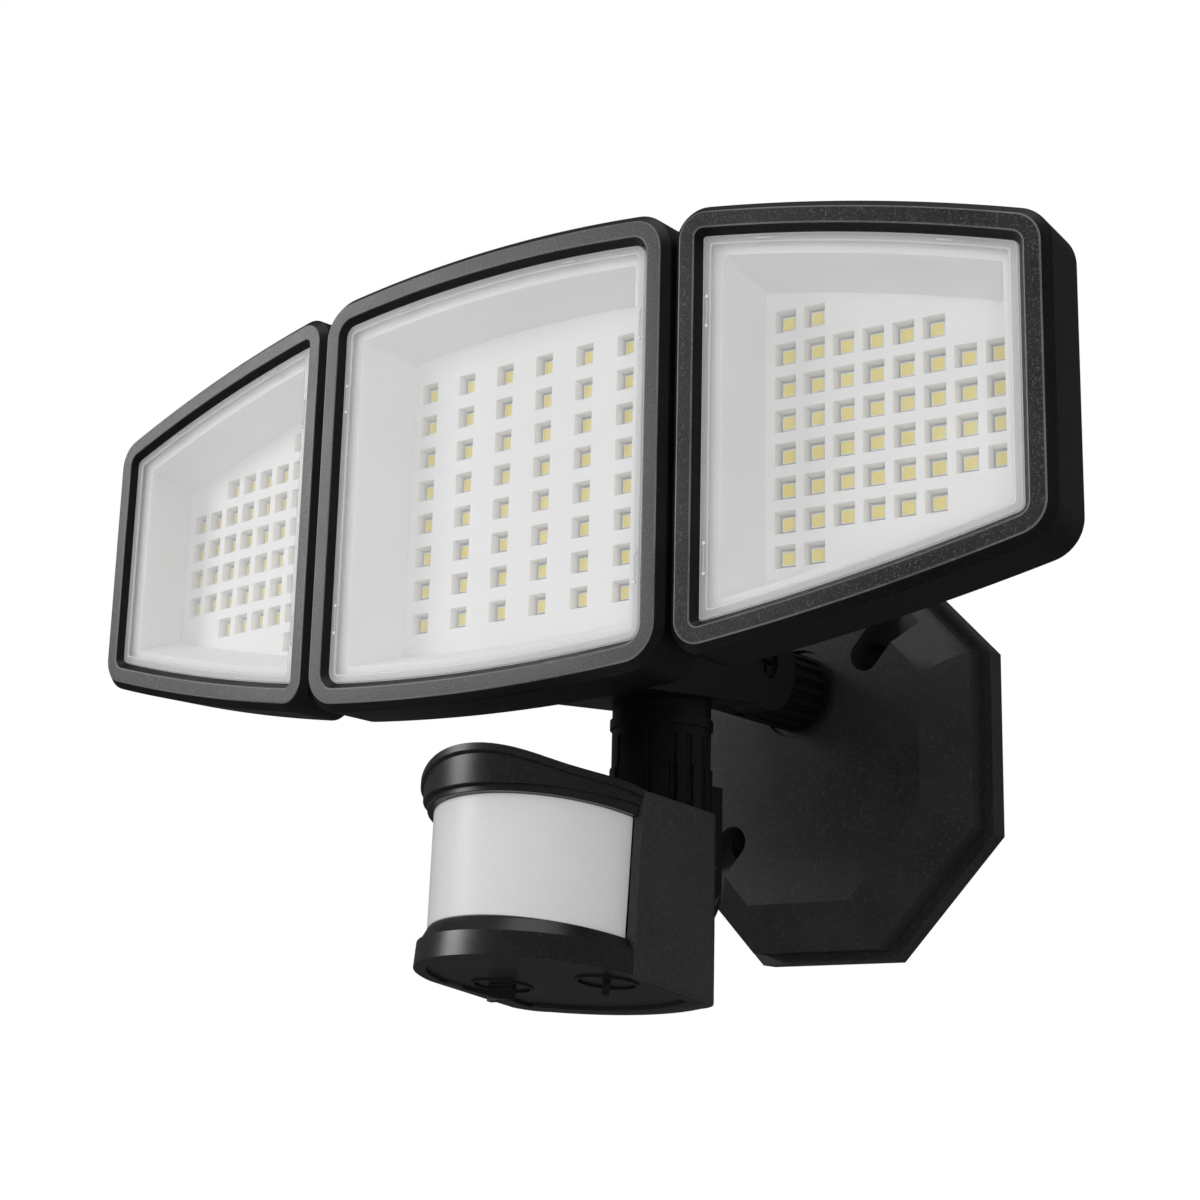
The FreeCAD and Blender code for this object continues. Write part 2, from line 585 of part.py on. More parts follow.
def corner(side, inward, circle, inset, radius, sign):
    """Rounded corner between an upright side and an arc: its end on the side, middle and end on the arc."""
    cu, cz, big = circle
    big = big - inset
    fu = side + inward * radius
    fz = cz + sign * math.sqrt((big - radius) ** 2 - (fu - cu) ** 2)
    reach = big / (big - radius)
    ru = (fu - cu) / (big - radius)
    rz = (fz - cz) / (big - radius)
    mu = ru - inward
    length = math.hypot(mu, rz)
    middle = (fu + mu / length * radius, fz + rz / length * radius)
    return (side, fz), middle, (cu + (fu - cu) * reach, cz + (fz - cz) * reach)


def outline(head, inset, depth, draft=0.0):
    """Outline of a head in its own plane, moved inwards by an inset; draft moves the inner side further."""
    inner = head["inner"] + inset + draft
    outer = head["outer"] - inset
    inner_r = max(head["inner_r"] - inset, LEAST_CORNER_R)
    outer_r = max(head["outer_r"] - inset, LEAST_CORNER_R)
    corners = [corner(inner, 1, head["top"], inset, inner_r, 1),
               corner(outer, -1, head["top"], inset, outer_r, 1)[::-1],
               corner(outer, -1, head["bottom"], inset, outer_r, -1),
               corner(inner, 1, head["bottom"], inset, inner_r, -1)[::-1]]
    middle = (inner + outer) / 2
    crowns = {0: (middle, arc_height(head["top"], middle, inset, 1)),
              2: (middle, arc_height(head["bottom"], middle, inset, -1))}
    edges = []
    for i in range(4):
        a, b, c = [V(u, depth, z) for u, z in corners[i]]
        edges.append(Part.Arc(a, b, c).toShape())
        u, z = corners[(i + 1) % 4][0]
        nxt = V(u, depth, z)
        if i in crowns:
            crown = V(crowns[i][0], depth, crowns[i][1])
            edges.append(Part.Arc(c, crown, nxt).toShape())
        else:
            edges.append(Part.LineSegment(c, nxt).toShape())
    return Part.Wire(edges)


def layer(head, inset, depth0, depth1, draft=0.0):
    """Flat layer of a head between two depths."""
    return extruded(outline(head, inset, depth0, draft), 0, depth1 - depth0, 0)


def tapered(wire0, wire1):
    """Straight-sided solid between two outlines."""
    return Part.makeLoft([wire0, wire1], True, True)


def screw_places(head):
    """Four screw positions: two under the top edge, two over the bottom edge."""
    places = []
    for u in head["screws"]:
        places.append((u, arc_height(head["top"], u, SCREW_INSET, 1), 1))
        places.append((u, arc_height(head["bottom"], u, SCREW_INSET, -1), -1))
    return places


def head_frame(head):
    """Frame: chamfered ring with a bevelled lip in front and four screw blocks behind."""
    body = layer(head, 0, CHAMFER, FRAME_DEPTH)
    body = body.fuse(tapered(outline(head, CHAMFER, 0), outline(head, 0, CHAMFER)))
    opening = CHAMFER + FACE_W
    body = body.cut(tapered(outline(head, opening, 0), outline(head, opening + BEVEL_W, LIP_T)))
    body = body.cut(layer(head, FRAME_WALL, LIP_T, FRAME_DEPTH, head["draft"]))
    length = SCREW_LENGTH + PAST
    for u, z, sign in screw_places(head):
        edge = z + sign * (SCREW_INSET - FRAME_WALL / 2)
        inside = z + sign * (SCREW_INSET - SCREW_BLOCK_REACH)
        block = box(u - SCREW_BLOCK_W / 2, u + SCREW_BLOCK_W / 2, TRAY_RIM_BACK, FRAME_DEPTH - FLANGE_DEPTH,
                    min(edge, inside), max(edge, inside))
        hole = cylinder(SCREW_R + RUNNING, (u, FRAME_DEPTH - length, z), (0, 1, 0), length)
        body = body.fuse(block).cut(hole)
    return body.removeSplitter()


def head_cover(head):
    """Clear cover behind the lip."""
    return layer(head, FRAME_WALL + FIT, LIP_T, COVER_BACK, head["draft"])


def floor_outline(head, grow, depth):
    """Outline of the tray's floor."""
    low, high = head["floor"]
    flat = {"inner": low - FLOOR_INSET, "outer": high + FLOOR_INSET, "top": head["top"],
            "bottom": head["bottom"], "inner_r": 0.0, "outer_r": 0.0}
    return outline(flat, FLOOR_INSET - grow, depth)


def led_places(head):
    """Centres of the LEDs, column by column."""
    pitch_u, pitch_z = head["pitch"]
    return [(head["first"] + i * pitch_u, (j - (count - 1) / 2) * pitch_z)
            for i, count in enumerate(head["rows"]) for j in range(int(count))]


def square(u, z, size, depth):
    """Square outline in a head's plane."""
    h = size / 2
    return polygon([(u - h, depth, z - h), (u + h, depth, z - h), (u + h, depth, z + h),
                    (u - h, depth, z + h)])


def head_tray(head):
    """White reflector tray: rim, sloping walls and a floor with a tapered pocket for each LED."""
    rim = layer(head, FRAME_WALL + FIT, COVER_BACK, TRAY_RIM_BACK, head["draft"])
    walls = tapered(outline(head, TRAY_OPENING - TRAY_WALL, COVER_BACK),
                    floor_outline(head, TRAY_WALL, FLOOR_DEPTH))
    floor = extruded(floor_outline(head, TRAY_WALL, FLOOR_DEPTH), 0, TRAY_FLOOR_T, 0)
    basin = tapered(outline(head, TRAY_OPENING, COVER_BACK), floor_outline(head, 0, FLOOR_DEPTH))
    pockets = [tapered(square(u, z, POCKET_FRONT, FLOOR_DEPTH), square(u, z, POCKET_BACK, BOARD_DEPTH))
               for u, z in led_places(head)]
    return rim.fuse(walls).fuse(floor).cut(basin).cut(Part.makeCompound(pockets)).removeSplitter()


def head_board(head):
    """LED circuit board against the tray's back."""
    return layer(head, TUB_INSET + TUB_WALL + FIT, BOARD_DEPTH, HEAT_DEPTH, head["draft"])


def head_leds(head):
    """The LEDs on the board."""
    leds = [box(u - LED_W / 2, u + LED_W / 2, LED_DEPTH, BOARD_DEPTH, z - LED_H / 2, z + LED_H / 2)
            for u, z in led_places(head)]
    return Part.makeCompound(leds)


def heat_plate(head):
    """Metal plate between the board and the shell's back."""
    return layer(head, TUB_INSET + TUB_WALL + FIT, HEAT_DEPTH, BACK_DEPTH, head["draft"])


def cooling_ribs(head):
    """Upright ribs across the shell's back, clear of the housing's place."""
    low = head["inner"] + RIB_MARGIN
    high = head["outer"] - RIB_MARGIN
    count = int((high - low) / RIB_PITCH) + 1
    first = (low + high - (count - 1) * RIB_PITCH) / 2
    ribs = []
    for i in range(count):
        u = first + i * RIB_PITCH
        if head["rib_clear"] and abs(u) < head["rib_clear"]:
            continue
        z0 = arc_height(head["bottom"], u, RIB_MARGIN, -1)
        z1 = arc_height(head["top"], u, RIB_MARGIN, 1)
        ribs.append(box(u - RIB_W / 2, u + RIB_W / 2, HEAD_DEPTH - BACK_T / 2, HEAD_DEPTH + RIB_H, z0, z1))
    return ribs


def head_shell(head):
    """Rear shell: a flange inside the frame and a shallow closed tub."""
    draft = head["draft"]
    flange = layer(head, FRAME_WALL + FIT, FRAME_DEPTH - FLANGE_DEPTH, FRAME_DEPTH, draft)
    tub = layer(head, TUB_INSET, FRAME_DEPTH, HEAD_DEPTH - TUB_CHAMFER, draft)
    end = tapered(outline(head, TUB_INSET, HEAD_DEPTH - TUB_CHAMFER, draft),
                  outline(head, TUB_INSET + TUB_CHAMFER, HEAD_DEPTH, draft))
    shell = flange.fuse(tub).fuse(end)
    shell = shell.cut(layer(head, TUB_INSET + TUB_WALL, FRAME_DEPTH - FLANGE_DEPTH, BACK_DEPTH, draft))
    for rib in cooling_ribs(head):
        shell = shell.fuse(rib)
    for u, z, sign in screw_places(head):
        shell = shell.cut(cylinder(SCREW_R + RUNNING, (u, 0, z), (0, 1, 0), FRAME_DEPTH))
    return shell.removeSplitter()


def head_screw(u, z):
    """Pan-head screw from behind, through the shell's flange into the frame."""
    shank = cylinder(SCREW_R, (u, FRAME_DEPTH - SCREW_LENGTH, z), (0, 1, 0), SCREW_LENGTH)
    head = cylinder(SCREW_HEAD_R, (u, FRAME_DEPTH, z), (0, 1, 0), SCREW_HEAD_T)
    back = FRAME_DEPTH + SCREW_HEAD_T
    slot = box(u - SCREW_HEAD_R, u + SCREW_HEAD_R, back - SCREW_HEAD_T / 2, back,
               z - SCREW_SLOT_W / 2, z + SCREW_SLOT_W / 2)
    return shank.fuse(head).cut(slot).removeSplitter()


def place_centre(shape):
    """Move a head from its own plane to the middle of the lamp."""
    shape.translate(V(0, FRONT_Y, HEAD_Z))
    return shape


def place_wing(shape):
    """Turn a head from its own plane to its swept place on the right."""
    shape.rotate(V(0, 0, 0), V(0, 0, 1), WING_SWEEP)
    shape.translate(V(WING_ORIGIN_X, WING_ORIGIN_Y, HEAD_Z))
    return shape


def mirrored(shape):
    """The same piece on the other side."""
    return shape.mirror(V(0, 0, 0), V(1, 0, 0))


def hinge_lugs(reach_x, spans):
    """Hinge lugs about the right pin: barrels with arms that reach sideways to a shell."""
    lugs = []
    low = min(reach_x, PIN_X)
    high = max(reach_x, PIN_X)
    for level in (-HINGE_SPREAD, HINGE_SPREAD):
        for z0, z1 in spans:
            z = HEAD_Z + level
            barrel = cylinder(LUG_R, (PIN_X, PIN_Y, z + z0), (0, 0, 1), z1 - z0)
            arm = box(low, high, PIN_Y - LUG_ARM_T / 2, PIN_Y + LUG_ARM_T / 2, z + z0, z + z1)
            bore = cylinder(PIN_R + RUNNING, (PIN_X, PIN_Y, z + z0), (0, 0, 1), z1 - z0)
            lugs.append(barrel.fuse(arm).cut(bore))
    return lugs


def hinge_pin():
    """Long pin through the right wing's lugs."""
    reach = HINGE_SPREAD + LUG_INNER_H / 2 + LUG_GAP + LUG_OUTER_H
    return cylinder(PIN_R, (PIN_X, PIN_Y, HEAD_Z - reach), (0, 0, 1), 2 * reach)


def centre_shell():
    """Centre rear shell with two outer lugs at each hinge level on both sides."""
    shell = place_centre(head_shell(CENTRE))
    half = LUG_INNER_H / 2 + LUG_GAP
    spans = [(-half - LUG_OUTER_H, -half), (half, half + LUG_OUTER_H)]
    for lug in hinge_lugs(CENTRE_HALF_W - TUB_INSET - TUB_WALL / 2, spans):
        shell = shell.fuse(lug).fuse(mirrored(lug))
    return shell.removeSplitter()


def wing_shell():
    """Right rear shell with one lug at each hinge level."""
    shell = place_wing(head_shell(WING))
    wall_u = WING_INNER_U + WING_DRAFT + TUB_INSET + TUB_WALL / 2
    reach = WING_ORIGIN_X + wall_u * math.cos(SWEEP) - HEAT_DEPTH * math.sin(SWEEP)
    for lug in hinge_lugs(reach, [(-LUG_INNER_H / 2, LUG_INNER_H / 2)]):
        shell = shell.fuse(lug)
    return shell.removeSplitter()


def wing_frame():
    """Right frame, with its inner side cut parallel to the centre frame's side."""
    frame = place_wing(head_frame(WING))
    return frame.cut(box(0, SEAM_X, FRONT_Y - BEYOND, 0, -BEYOND, BEYOND)).removeSplitter()


def under_z(y):
    """Height of the sensor's sloping underside."""
    return UNDER_POINT[1] - math.tan(UNDER) * (y - UNDER_POINT[0])


def underside(height):
    """Point on the sensor's sloping underside, or on a plane parallel to it at a height above it."""
    return (0, UNDER_POINT[0], UNDER_POINT[1] + height / math.cos(UNDER))


def sensor_front_plane():
    """Leaning plane where the sensor's side walls end: a point and its normal towards the front."""
    y0, z0 = SIDE_FRONT_BOTTOM
    y1, z1 = SIDE_FRONT_TOP
    return (0, y0, z0), (0, -(z1 - z0), y1 - y0)


def sensor_roof(drop):
    """Plane of the sensor's roof: a point and its normal upwards."""
    y0, z0 = SIDE_FRONT_TOP
    y1, z1 = ROOF_REAR
    return (0, y0, z0 - drop), (0, -(z1 - z0), y1 - y0)


def sensor_plan(inset):
    """Upright block with the plan of the sensor's side and rear walls."""
    w = SENSOR_HALF_W - inset
    cx = SENSOR_HALF_W - REAR_CORNER_SETBACK
    bx = SENSOR_HALF_W - REAR_BACK_SETBACK - inset / 3
    cy = REAR_CORNER_Y
    by = REAR_BACK_Y - inset
    z = -BEYOND
    front = SIDE_FRONT_BOTTOM[0] - SENSOR_HALF_W
    diagonal = inset / math.sqrt(2)
    start = V(-w, REAR_SIDE_Y, z)
    back = V(-bx, by, z)
    back_right = V(bx, by, z)
    edges = [Part.LineSegment(V(-w, front, z), start).toShape(),
             Part.Arc(start, V(-cx + diagonal, cy - diagonal, z), back).toShape(),
             Part.Arc(back, V(0, REAR_APEX_Y - inset, z), back_right).toShape(),
             Part.Arc(back_right, V(cx - diagonal, cy - diagonal, z), V(w, REAR_SIDE_Y, z)).toShape(),
             Part.LineSegment(V(w, REAR_SIDE_Y, z), V(w, front, z)).toShape(),
             Part.LineSegment(V(w, front, z), V(-w, front, z)).toShape()]
    return extruded(Part.Wire(edges), 0, 0, BEYOND)


def sensor_housing():
    """Rear part of the sensor: side walls, rounded back, roof and the two ears on the post's pad."""
    point, normal = sensor_front_plane()
    down = UNDER_NORMAL * -1
    block = trimmed(sensor_plan(0), point, normal)
    block = trimmed(block, *sensor_roof(0))
    block = trimmed(block, underside(0), tuple(down))
    cavity = trimmed(sensor_plan(SENSOR_WALL), *sensor_roof(SENSOR_WALL))
    shell = block.cut(cavity)
    for side in (-1, 1):
        x = EAR_INNER_X if side > 0 else -EAR_INNER_X - EAR_T
        eye = cylinder(SENSOR_EAR_R, (x, SENSOR_TILT_Y, SENSOR_TILT_Z), (1, 0, 0), EAR_T)
        arm = box(x, x + EAR_T, REAR_APEX_Y - SENSOR_WALL, SENSOR_TILT_Y, SENSOR_TILT_Z - SENSOR_EAR_R,
                  SENSOR_TILT_Z + SENSOR_EAR_R)
        hole = cylinder(SENSOR_BOLT_R + RUNNING, (x, SENSOR_TILT_Y, SENSOR_TILT_Z), (1, 0, 0), EAR_T)
        shell = shell.fuse(eye.fuse(arm).cut(hole))
    return shell.removeSplitter()


def tilted(shape):
    """Tip a shape made about the origin: its Z axis becomes the underside's normal, at the front centre."""
    centre = V(0, FRONT_CENTRE_Y, under_z(FRONT_CENTRE_Y))
    shape.Placement = FreeCAD.Placement(centre, FreeCAD.Rotation(V(1, 0, 0), -UNDER_SLOPE))
    return shape


def knob_place():
    """Middle of the right knob on the underside."""
    return V(KNOB_X, KNOB_Y, under_z(KNOB_Y))


def along_normal(radius, point, height0, height1):
    """Cylinder about the underside's normal through a point of the underside."""
    start = point + UNDER_NORMAL * height0
    return Part.makeCylinder(radius, height1 - height0, start, UNDER_NORMAL)


def sensor_base():
    """Sensor floor: round front band, a tilted ledge under the lens, recessed panel and two knob seats."""
    point, normal = sensor_front_plane()
    back = (0, -normal[1], -normal[2])
    band = Part.makeCylinder(BASE_R, BASE_BAND_H)
    rise = BASE_LEDGE_H + LEDGE_SPARE
    ledge_r = BASE_R - BASE_LEDGE_SETBACK
    ledge = Part.makeCone(ledge_r, ledge_r - BASE_LEDGE_LEAN * rise, rise, V(0, 0, BASE_BAND_H))
    front = trimmed(trimmed(tilted(band.fuse(ledge)), point, back), *ledge_top())
    hollow = tilted(Part.makeCylinder(LENS_R - CAP_WALL, BASE_BAND_H + rise, V(0, 0, BASE_FLOOR)))
    floor = trimmed(sensor_plan(SENSOR_WALL + RUNNING), underside(0), tuple(UNDER_NORMAL * -1))
    floor = trimmed(floor, underside(BASE_FLOOR), tuple(UNDER_NORMAL))
    floor = trimmed(floor, point, normal)
    base = front.cut(hollow).fuse(floor)
    panel = trimmed(sensor_plan(SENSOR_WALL + PANEL_BORDER), underside(PANEL_RECESS), tuple(UNDER_NORMAL))
    panel = trimmed(panel, (0, FRONT_CENTRE_Y, 0), (0, -1, 0))
    round_panel = tilted(Part.makeCylinder(BASE_R - PANEL_BORDER, PAST + PANEL_RECESS, V(0, 0, -PAST)))
    base = base.cut(panel).cut(round_panel)
    for side in (-1, 1):
        centre = knob_place()
        centre.x = side * centre.x
        seat = KNOB_R + KNOB_GAP + KNOB_RIM_W
        base = base.fuse(along_normal(seat, centre, PANEL_RECESS - KNOB_RIM_H, BASE_FLOOR + KNOB_SEAT_H))
        base = base.cut(along_normal(KNOB_R + KNOB_GAP, centre, -PAST, PANEL_RECESS + KNOB_RECESS))
        base = base.cut(along_normal(KNOB_SHAFT_R + RUNNING, centre, 0, BASE_FLOOR + KNOB_SHAFT_H))
    return base.removeSplitter()


def leaning(radius, forward):
    """Upright cylinder of the sensor's round front, leaning a little so that its foot is forward."""
    lean = math.radians(FRONT_LEAN)
    axis = V(0, math.sin(lean), math.cos(lean))
    foot = V(0, FRONT_CENTRE_Y - forward, SIDE_FRONT_BOTTOM[1]) - axis * BEYOND
    return Part.makeCylinder(radius, 2 * BEYOND, foot, axis)


def ledge_top():
    """Plane between the base's ledge and the lens: a point and its normal upwards."""
    slope = math.radians(LEDGE_TOP_SLOPE)
    height = under_z(LEDGE_MID_Y) + (BASE_BAND_H + BASE_LEDGE_H) / math.cos(UNDER)
    return (0, LEDGE_MID_Y, height), (0, math.sin(slope), math.cos(slope))


def lens_top():
    """Plane on top of the lens: a point and its normal upwards."""
    slope = math.radians(LENS_TOP_SLOPE)
    return (0, LENS_TOP[0], LENS_TOP[1]), (0, math.sin(slope), math.cos(slope))


def sensor_lens():
    """Half-round milky lens between the base's ledge and the cap."""
    point, normal = sensor_front_plane()
    back = (0, -normal[1], -normal[2])
    lens = leaning(LENS_R, 0).cut(leaning(LENS_R - LENS_T, 0))
    lens = trimmed(lens, *lens_top())
    low_point, low_normal = ledge_top()
    lens = trimmed(lens, low_point, (0, -low_normal[1], -low_normal[2]))
    return trimmed(lens, point, back)


def cap_space(drop):
    """Everything below the cap's curved top, lowered by a drop."""
    x = -BEYOND
    y_end, z_end = SIDE_FRONT_TOP
    points = [V(x, y, z - drop) for y, z in CAP_PROFILE] + [V(x, y_end, z_end - drop)]
    curve = Part.BSplineCurve()
    curve.interpolate(points)
    first = points[0]
    last = points[-1]
    y_back = y_end + CAP_R
    edges = [curve.toShape(),
             Part.LineSegment(last, V(x, y_back, last.z)).toShape(),
             Part.LineSegment(V(x, y_back, last.z), V(x, y_back, -BEYOND)).toShape(),
             Part.LineSegment(V(x, y_back, -BEYOND), V(x, first.y, -BEYOND)).toShape(),
             Part.LineSegment(V(x, first.y, -BEYOND), first).toShape()]
    return extruded(Part.Wire(edges), 2 * BEYOND, 0, 0)


def sensor_cap():
    """Cap over the lens: plain band, bulging visor band and a thin lip along the curved top."""
    point, normal = sensor_front_plane()
    back = (0, -normal[1], -normal[2])
    top_point, top_normal = lens_top()
    bottom = (0, -top_normal[1], -top_normal[2])
    slope = math.radians(VISOR_SLOPE)
    band = leaning(CAP_R, 0).common(cap_space(0))
    visor = leaning(VISOR_R, VISOR_FORWARD).common(cap_space(0))
    visor = trimmed(visor, (0, VISOR_BOTTOM[0], VISOR_BOTTOM[1]), (0, -math.sin(slope), -math.cos(slope)))
    lip = leaning(VISOR_R + LIP_OVER, VISOR_FORWARD).common(cap_space(0)).cut(cap_space(LIP_H))
    cap = trimmed(band.fuse(visor).fuse(lip), top_point, bottom)
    cap = cap.cut(leaning(CAP_R - CAP_WALL, 0).common(cap_space(2 * LIP_H)))
    return trimmed(cap, point, back).removeSplitter()


def detector_board():
    """Circuit board standing on the sensor's floor."""
    floor = under_z(DETECTOR_BOARD_Y) + BASE_FLOOR / math.cos(UNDER)
    half = SENSOR_HALF_W - DETECTOR_BOARD_SETBACK
    return box(-half, half, DETECTOR_BOARD_Y, DETECTOR_BOARD_Y + BOARD_T,
               floor + FACE_GAP, DETECTOR_BOARD_TOP_Z)


def detector():
    """Round motion detector on the board, facing the lens."""
    can = cylinder(DETECTOR_R, (0, DETECTOR_BOARD_Y, DETECTOR_Z), (0, -1, 0), DETECTOR_T)
    front = DETECTOR_BOARD_Y - DETECTOR_T
    window = box(-DETECTOR_WINDOW_W / 2, DETECTOR_WINDOW_W / 2, front, front + DETECTOR_WINDOW_DEPTH,
                 DETECTOR_Z - DETECTOR_WINDOW_H / 2, DETECTOR_Z + DETECTOR_WINDOW_H / 2)
    return can.cut(window)


def sensor_bolt():
    """Bolt through the sensor's ears."""
    reach = EAR_INNER_X + EAR_T
    shank = cylinder(SENSOR_BOLT_R, (-reach - SENSOR_HEAD_T, SENSOR_TILT_Y, SENSOR_TILT_Z), (1, 0, 0),
                     2 * reach + SENSOR_HEAD_T)
    head = cylinder(SENSOR_HEAD_R, (reach, SENSOR_TILT_Y, SENSOR_TILT_Z), (1, 0, 0), SENSOR_HEAD_T)
    return shank.fuse(head).removeSplitter()


def sensor_nut():
    """Nut on the sensor's bolt."""
    start = (-EAR_INNER_X - EAR_T - SENSOR_HEAD_T, SENSOR_TILT_Y, SENSOR_TILT_Z)
    nut = hexagon(SENSOR_HEAD_R, start, (1, 0, 0), SENSOR_HEAD_T)
    return nut.cut(cylinder(SENSOR_BOLT_R + RUNNING, start, (1, 0, 0), SENSOR_HEAD_T))


def knob(turn):
    """Right setting knob at a turn: disc, grip tab below and shaft above."""
    centre = knob_place()
    top = PANEL_RECESS + KNOB_RECESS - FACE_GAP
    disc = along_normal(KNOB_R, centre, top - KNOB_T, top)
    shaft = along_normal(KNOB_SHAFT_R, centre, top, BASE_FLOOR + KNOB_SHAFT_H)
    tab = box(-KNOB_TAB_W / 2, KNOB_TAB_W / 2, -KNOB_TAB_T / 2, KNOB_TAB_T / 2, -KNOB_TAB_H, top)
    upright = FreeCAD.Rotation(V(1, 0, 0), -UNDER_SLOPE)
    tab.Placement = FreeCAD.Placement(centre, upright.multiply(FreeCAD.Rotation(V(0, 0, 1), turn)))
    return disc.fuse(shaft).fuse(tab).removeSplitter()


HEAD_PIECES = {"cover": head_cover, "tray": head_tray, "led_board": head_board, "leds": head_leds,
               "heat_plate": heat_plate}

save("mounting_plate", mounting_plate())
save("wall_gasket", wall_gasket())
save("base_knuckle", base_knuckle())
save("knuckle_washer", knuckle_washer())
save("knuckle_nut", knuckle_nut())
save("driver_housing", driver_housing())
save("tilt_bolt", tilt_bolt())
save("tilt_nut", tilt_nut())
save("driver_board", driver_board())
save("sensor_post", sensor_post())
save("post_ring", post_ring())

save("centre_frame", place_centre(head_frame(CENTRE)))
save("centre_shell", centre_shell())
for name, make in HEAD_PIECES.items():
    save("centre_" + name, place_centre(make(CENTRE)))
for number, (u, z, sign) in enumerate(screw_places(CENTRE), 1):
    save("centre_screw_" + str(number), place_centre(head_screw(u, z)))

wing_pieces = {"frame": wing_frame(), "shell": wing_shell(), "hinge_pin": hinge_pin()}
for name, make in HEAD_PIECES.items():
    wing_pieces[name] = place_wing(make(WING))
for number, (u, z, sign) in enumerate(screw_places(WING), 1):
    wing_pieces["screw_" + str(number)] = place_wing(head_screw(u, z))
for name, shape in wing_pieces.items():
    save("right_" + name, shape)
    save("left_" + name, mirrored(shape))

save("sensor_housing", sensor_housing())
save("sensor_cap", sensor_cap())
save("sensor_base", sensor_base())
save("sensor_lens", sensor_lens())
save("detector_board", detector_board())
save("detector", detector())
save("sensor_bolt", sensor_bolt())
save("sensor_nut", sensor_nut())
save("right_knob", knob(RIGHT_KNOB_TURN))
save("left_knob", mirrored(knob(LEFT_KNOB_TURN)))
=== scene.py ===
# %% [markdown]
# # A motion sensor security light
#
# Three flood heads stand side by side: a centre head on the driver housing and two wings on
# upright pins. A motion sensor hangs on a fluted post below, and a knuckle carries it all on an
# octagonal wall plate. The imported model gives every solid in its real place, in metres, with +Z up
# and the wall behind at +Y. This lesson dresses it: crisp rounded edges, a clear cover with a
# stepped rim, packaged LEDs, a milky lens, and finishes made only from nodes.

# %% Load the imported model
import json
import math

import bmesh
import bpy
import numpy as np
from mathutils import Matrix, Vector

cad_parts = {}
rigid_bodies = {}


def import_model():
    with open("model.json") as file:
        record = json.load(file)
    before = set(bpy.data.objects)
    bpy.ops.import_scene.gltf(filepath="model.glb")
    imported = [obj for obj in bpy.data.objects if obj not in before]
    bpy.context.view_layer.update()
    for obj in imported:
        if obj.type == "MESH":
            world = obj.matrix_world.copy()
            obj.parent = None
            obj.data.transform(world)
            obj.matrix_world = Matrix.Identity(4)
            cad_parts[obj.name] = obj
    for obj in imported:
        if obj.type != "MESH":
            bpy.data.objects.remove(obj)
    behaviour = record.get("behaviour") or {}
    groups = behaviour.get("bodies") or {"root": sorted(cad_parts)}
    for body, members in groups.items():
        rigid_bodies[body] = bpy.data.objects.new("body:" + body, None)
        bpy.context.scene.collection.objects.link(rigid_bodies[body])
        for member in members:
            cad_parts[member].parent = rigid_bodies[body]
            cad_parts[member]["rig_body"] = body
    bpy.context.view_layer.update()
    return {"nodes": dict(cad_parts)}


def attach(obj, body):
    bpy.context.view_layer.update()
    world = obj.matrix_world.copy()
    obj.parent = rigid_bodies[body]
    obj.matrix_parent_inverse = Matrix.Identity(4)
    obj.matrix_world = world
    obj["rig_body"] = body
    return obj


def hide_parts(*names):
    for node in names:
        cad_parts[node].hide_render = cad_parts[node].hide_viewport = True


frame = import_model()
nodes = frame["nodes"]

# %% [markdown]
# ## Camera
#
# The photograph looks up at the light from the right. A camera is a place, a direction and a focal
# length, so its matrix is written from three unit vectors: right, up and backwards.

# %% Camera
CAMERA_PLACE = (0.34606, -0.56311, -0.11503)
CAMERA_RIGHT = (0.79141, 0.61083, 0.02338)
CAMERA_UP = (0.13008, -0.20566, 0.96994)
FOCAL_LENGTH = 65.38
SENSOR_WIDTH = 36.0
NEAREST_SEEN = 0.01
FURTHEST_SEEN = 50.0


def set_camera():
    """Camera whose columns are right, up and right x up, which points back from the view."""
    data = bpy.data.cameras.new("camera")
    data.sensor_width = SENSOR_WIDTH
    data.lens = FOCAL_LENGTH
    data.clip_start = NEAREST_SEEN
    data.clip_end = FURTHEST_SEEN
    camera = bpy.data.objects.new("camera", data)
    bpy.context.scene.collection.objects.link(camera)
    right = Vector(CAMERA_RIGHT).normalized()
    up = Vector(CAMERA_UP).normalized()
    turn = Matrix((right, up, right.cross(up))).transposed()
    camera.matrix_world = Matrix.Translation(CAMERA_PLACE) @ turn.to_4x4()
    bpy.context.scene.camera = camera


set_camera()
bpy.context.scene.view_settings.view_transform = "Standard"

# %% [markdown]
# ## Shader groups
#
# Moulded plastic is never one flat colour. The tool that shapes it is spark-eroded, which leaves a
# grain of fine pits, and handling and resin flow leave slow cloudy changes of gloss. Both effects
# are wanted in several finishes, so each is a group that is built once.

# %% Helpers for node trees
def add_node(tree, kind, place, **values):
    """New node of a kind with some of its settings."""
    node = tree.nodes.new(kind)
    node.location = place
    for key, value in values.items():
        setattr(node, key, value)
    return node


def new_group(name, inputs, outputs):
    """Empty shader group with a Vector input, and a float socket for each name."""
    tree = bpy.data.node_groups.new(name, "ShaderNodeTree")
    tree.interface.new_socket("Vector", in_out="INPUT", socket_type="NodeSocketVector")
    for label in inputs:
        tree.interface.new_socket(label, in_out="INPUT", socket_type="NodeSocketFloat")
    for label in outputs:
        tree.interface.new_socket(label, in_out="OUTPUT", socket_type="NodeSocketFloat")
    start = add_node(tree, "NodeGroupInput", (-700, 0))
    end = add_node(tree, "NodeGroupOutput", (500, 0))
    return tree, start, end


def ramp_between(tree, value, low, high, place):
    """Map Range node that takes low..high to 0..1."""
    node = add_node(tree, "ShaderNodeMapRange", place)
    node.inputs["From Min"].default_value = low
    node.inputs["From Max"].default_value = high
    tree.links.new(value, node.inputs["Value"])
    return node.outputs["Result"]


# %% Grain group
FLECK_FROM = 0.56
FLECK_TO = 0.78


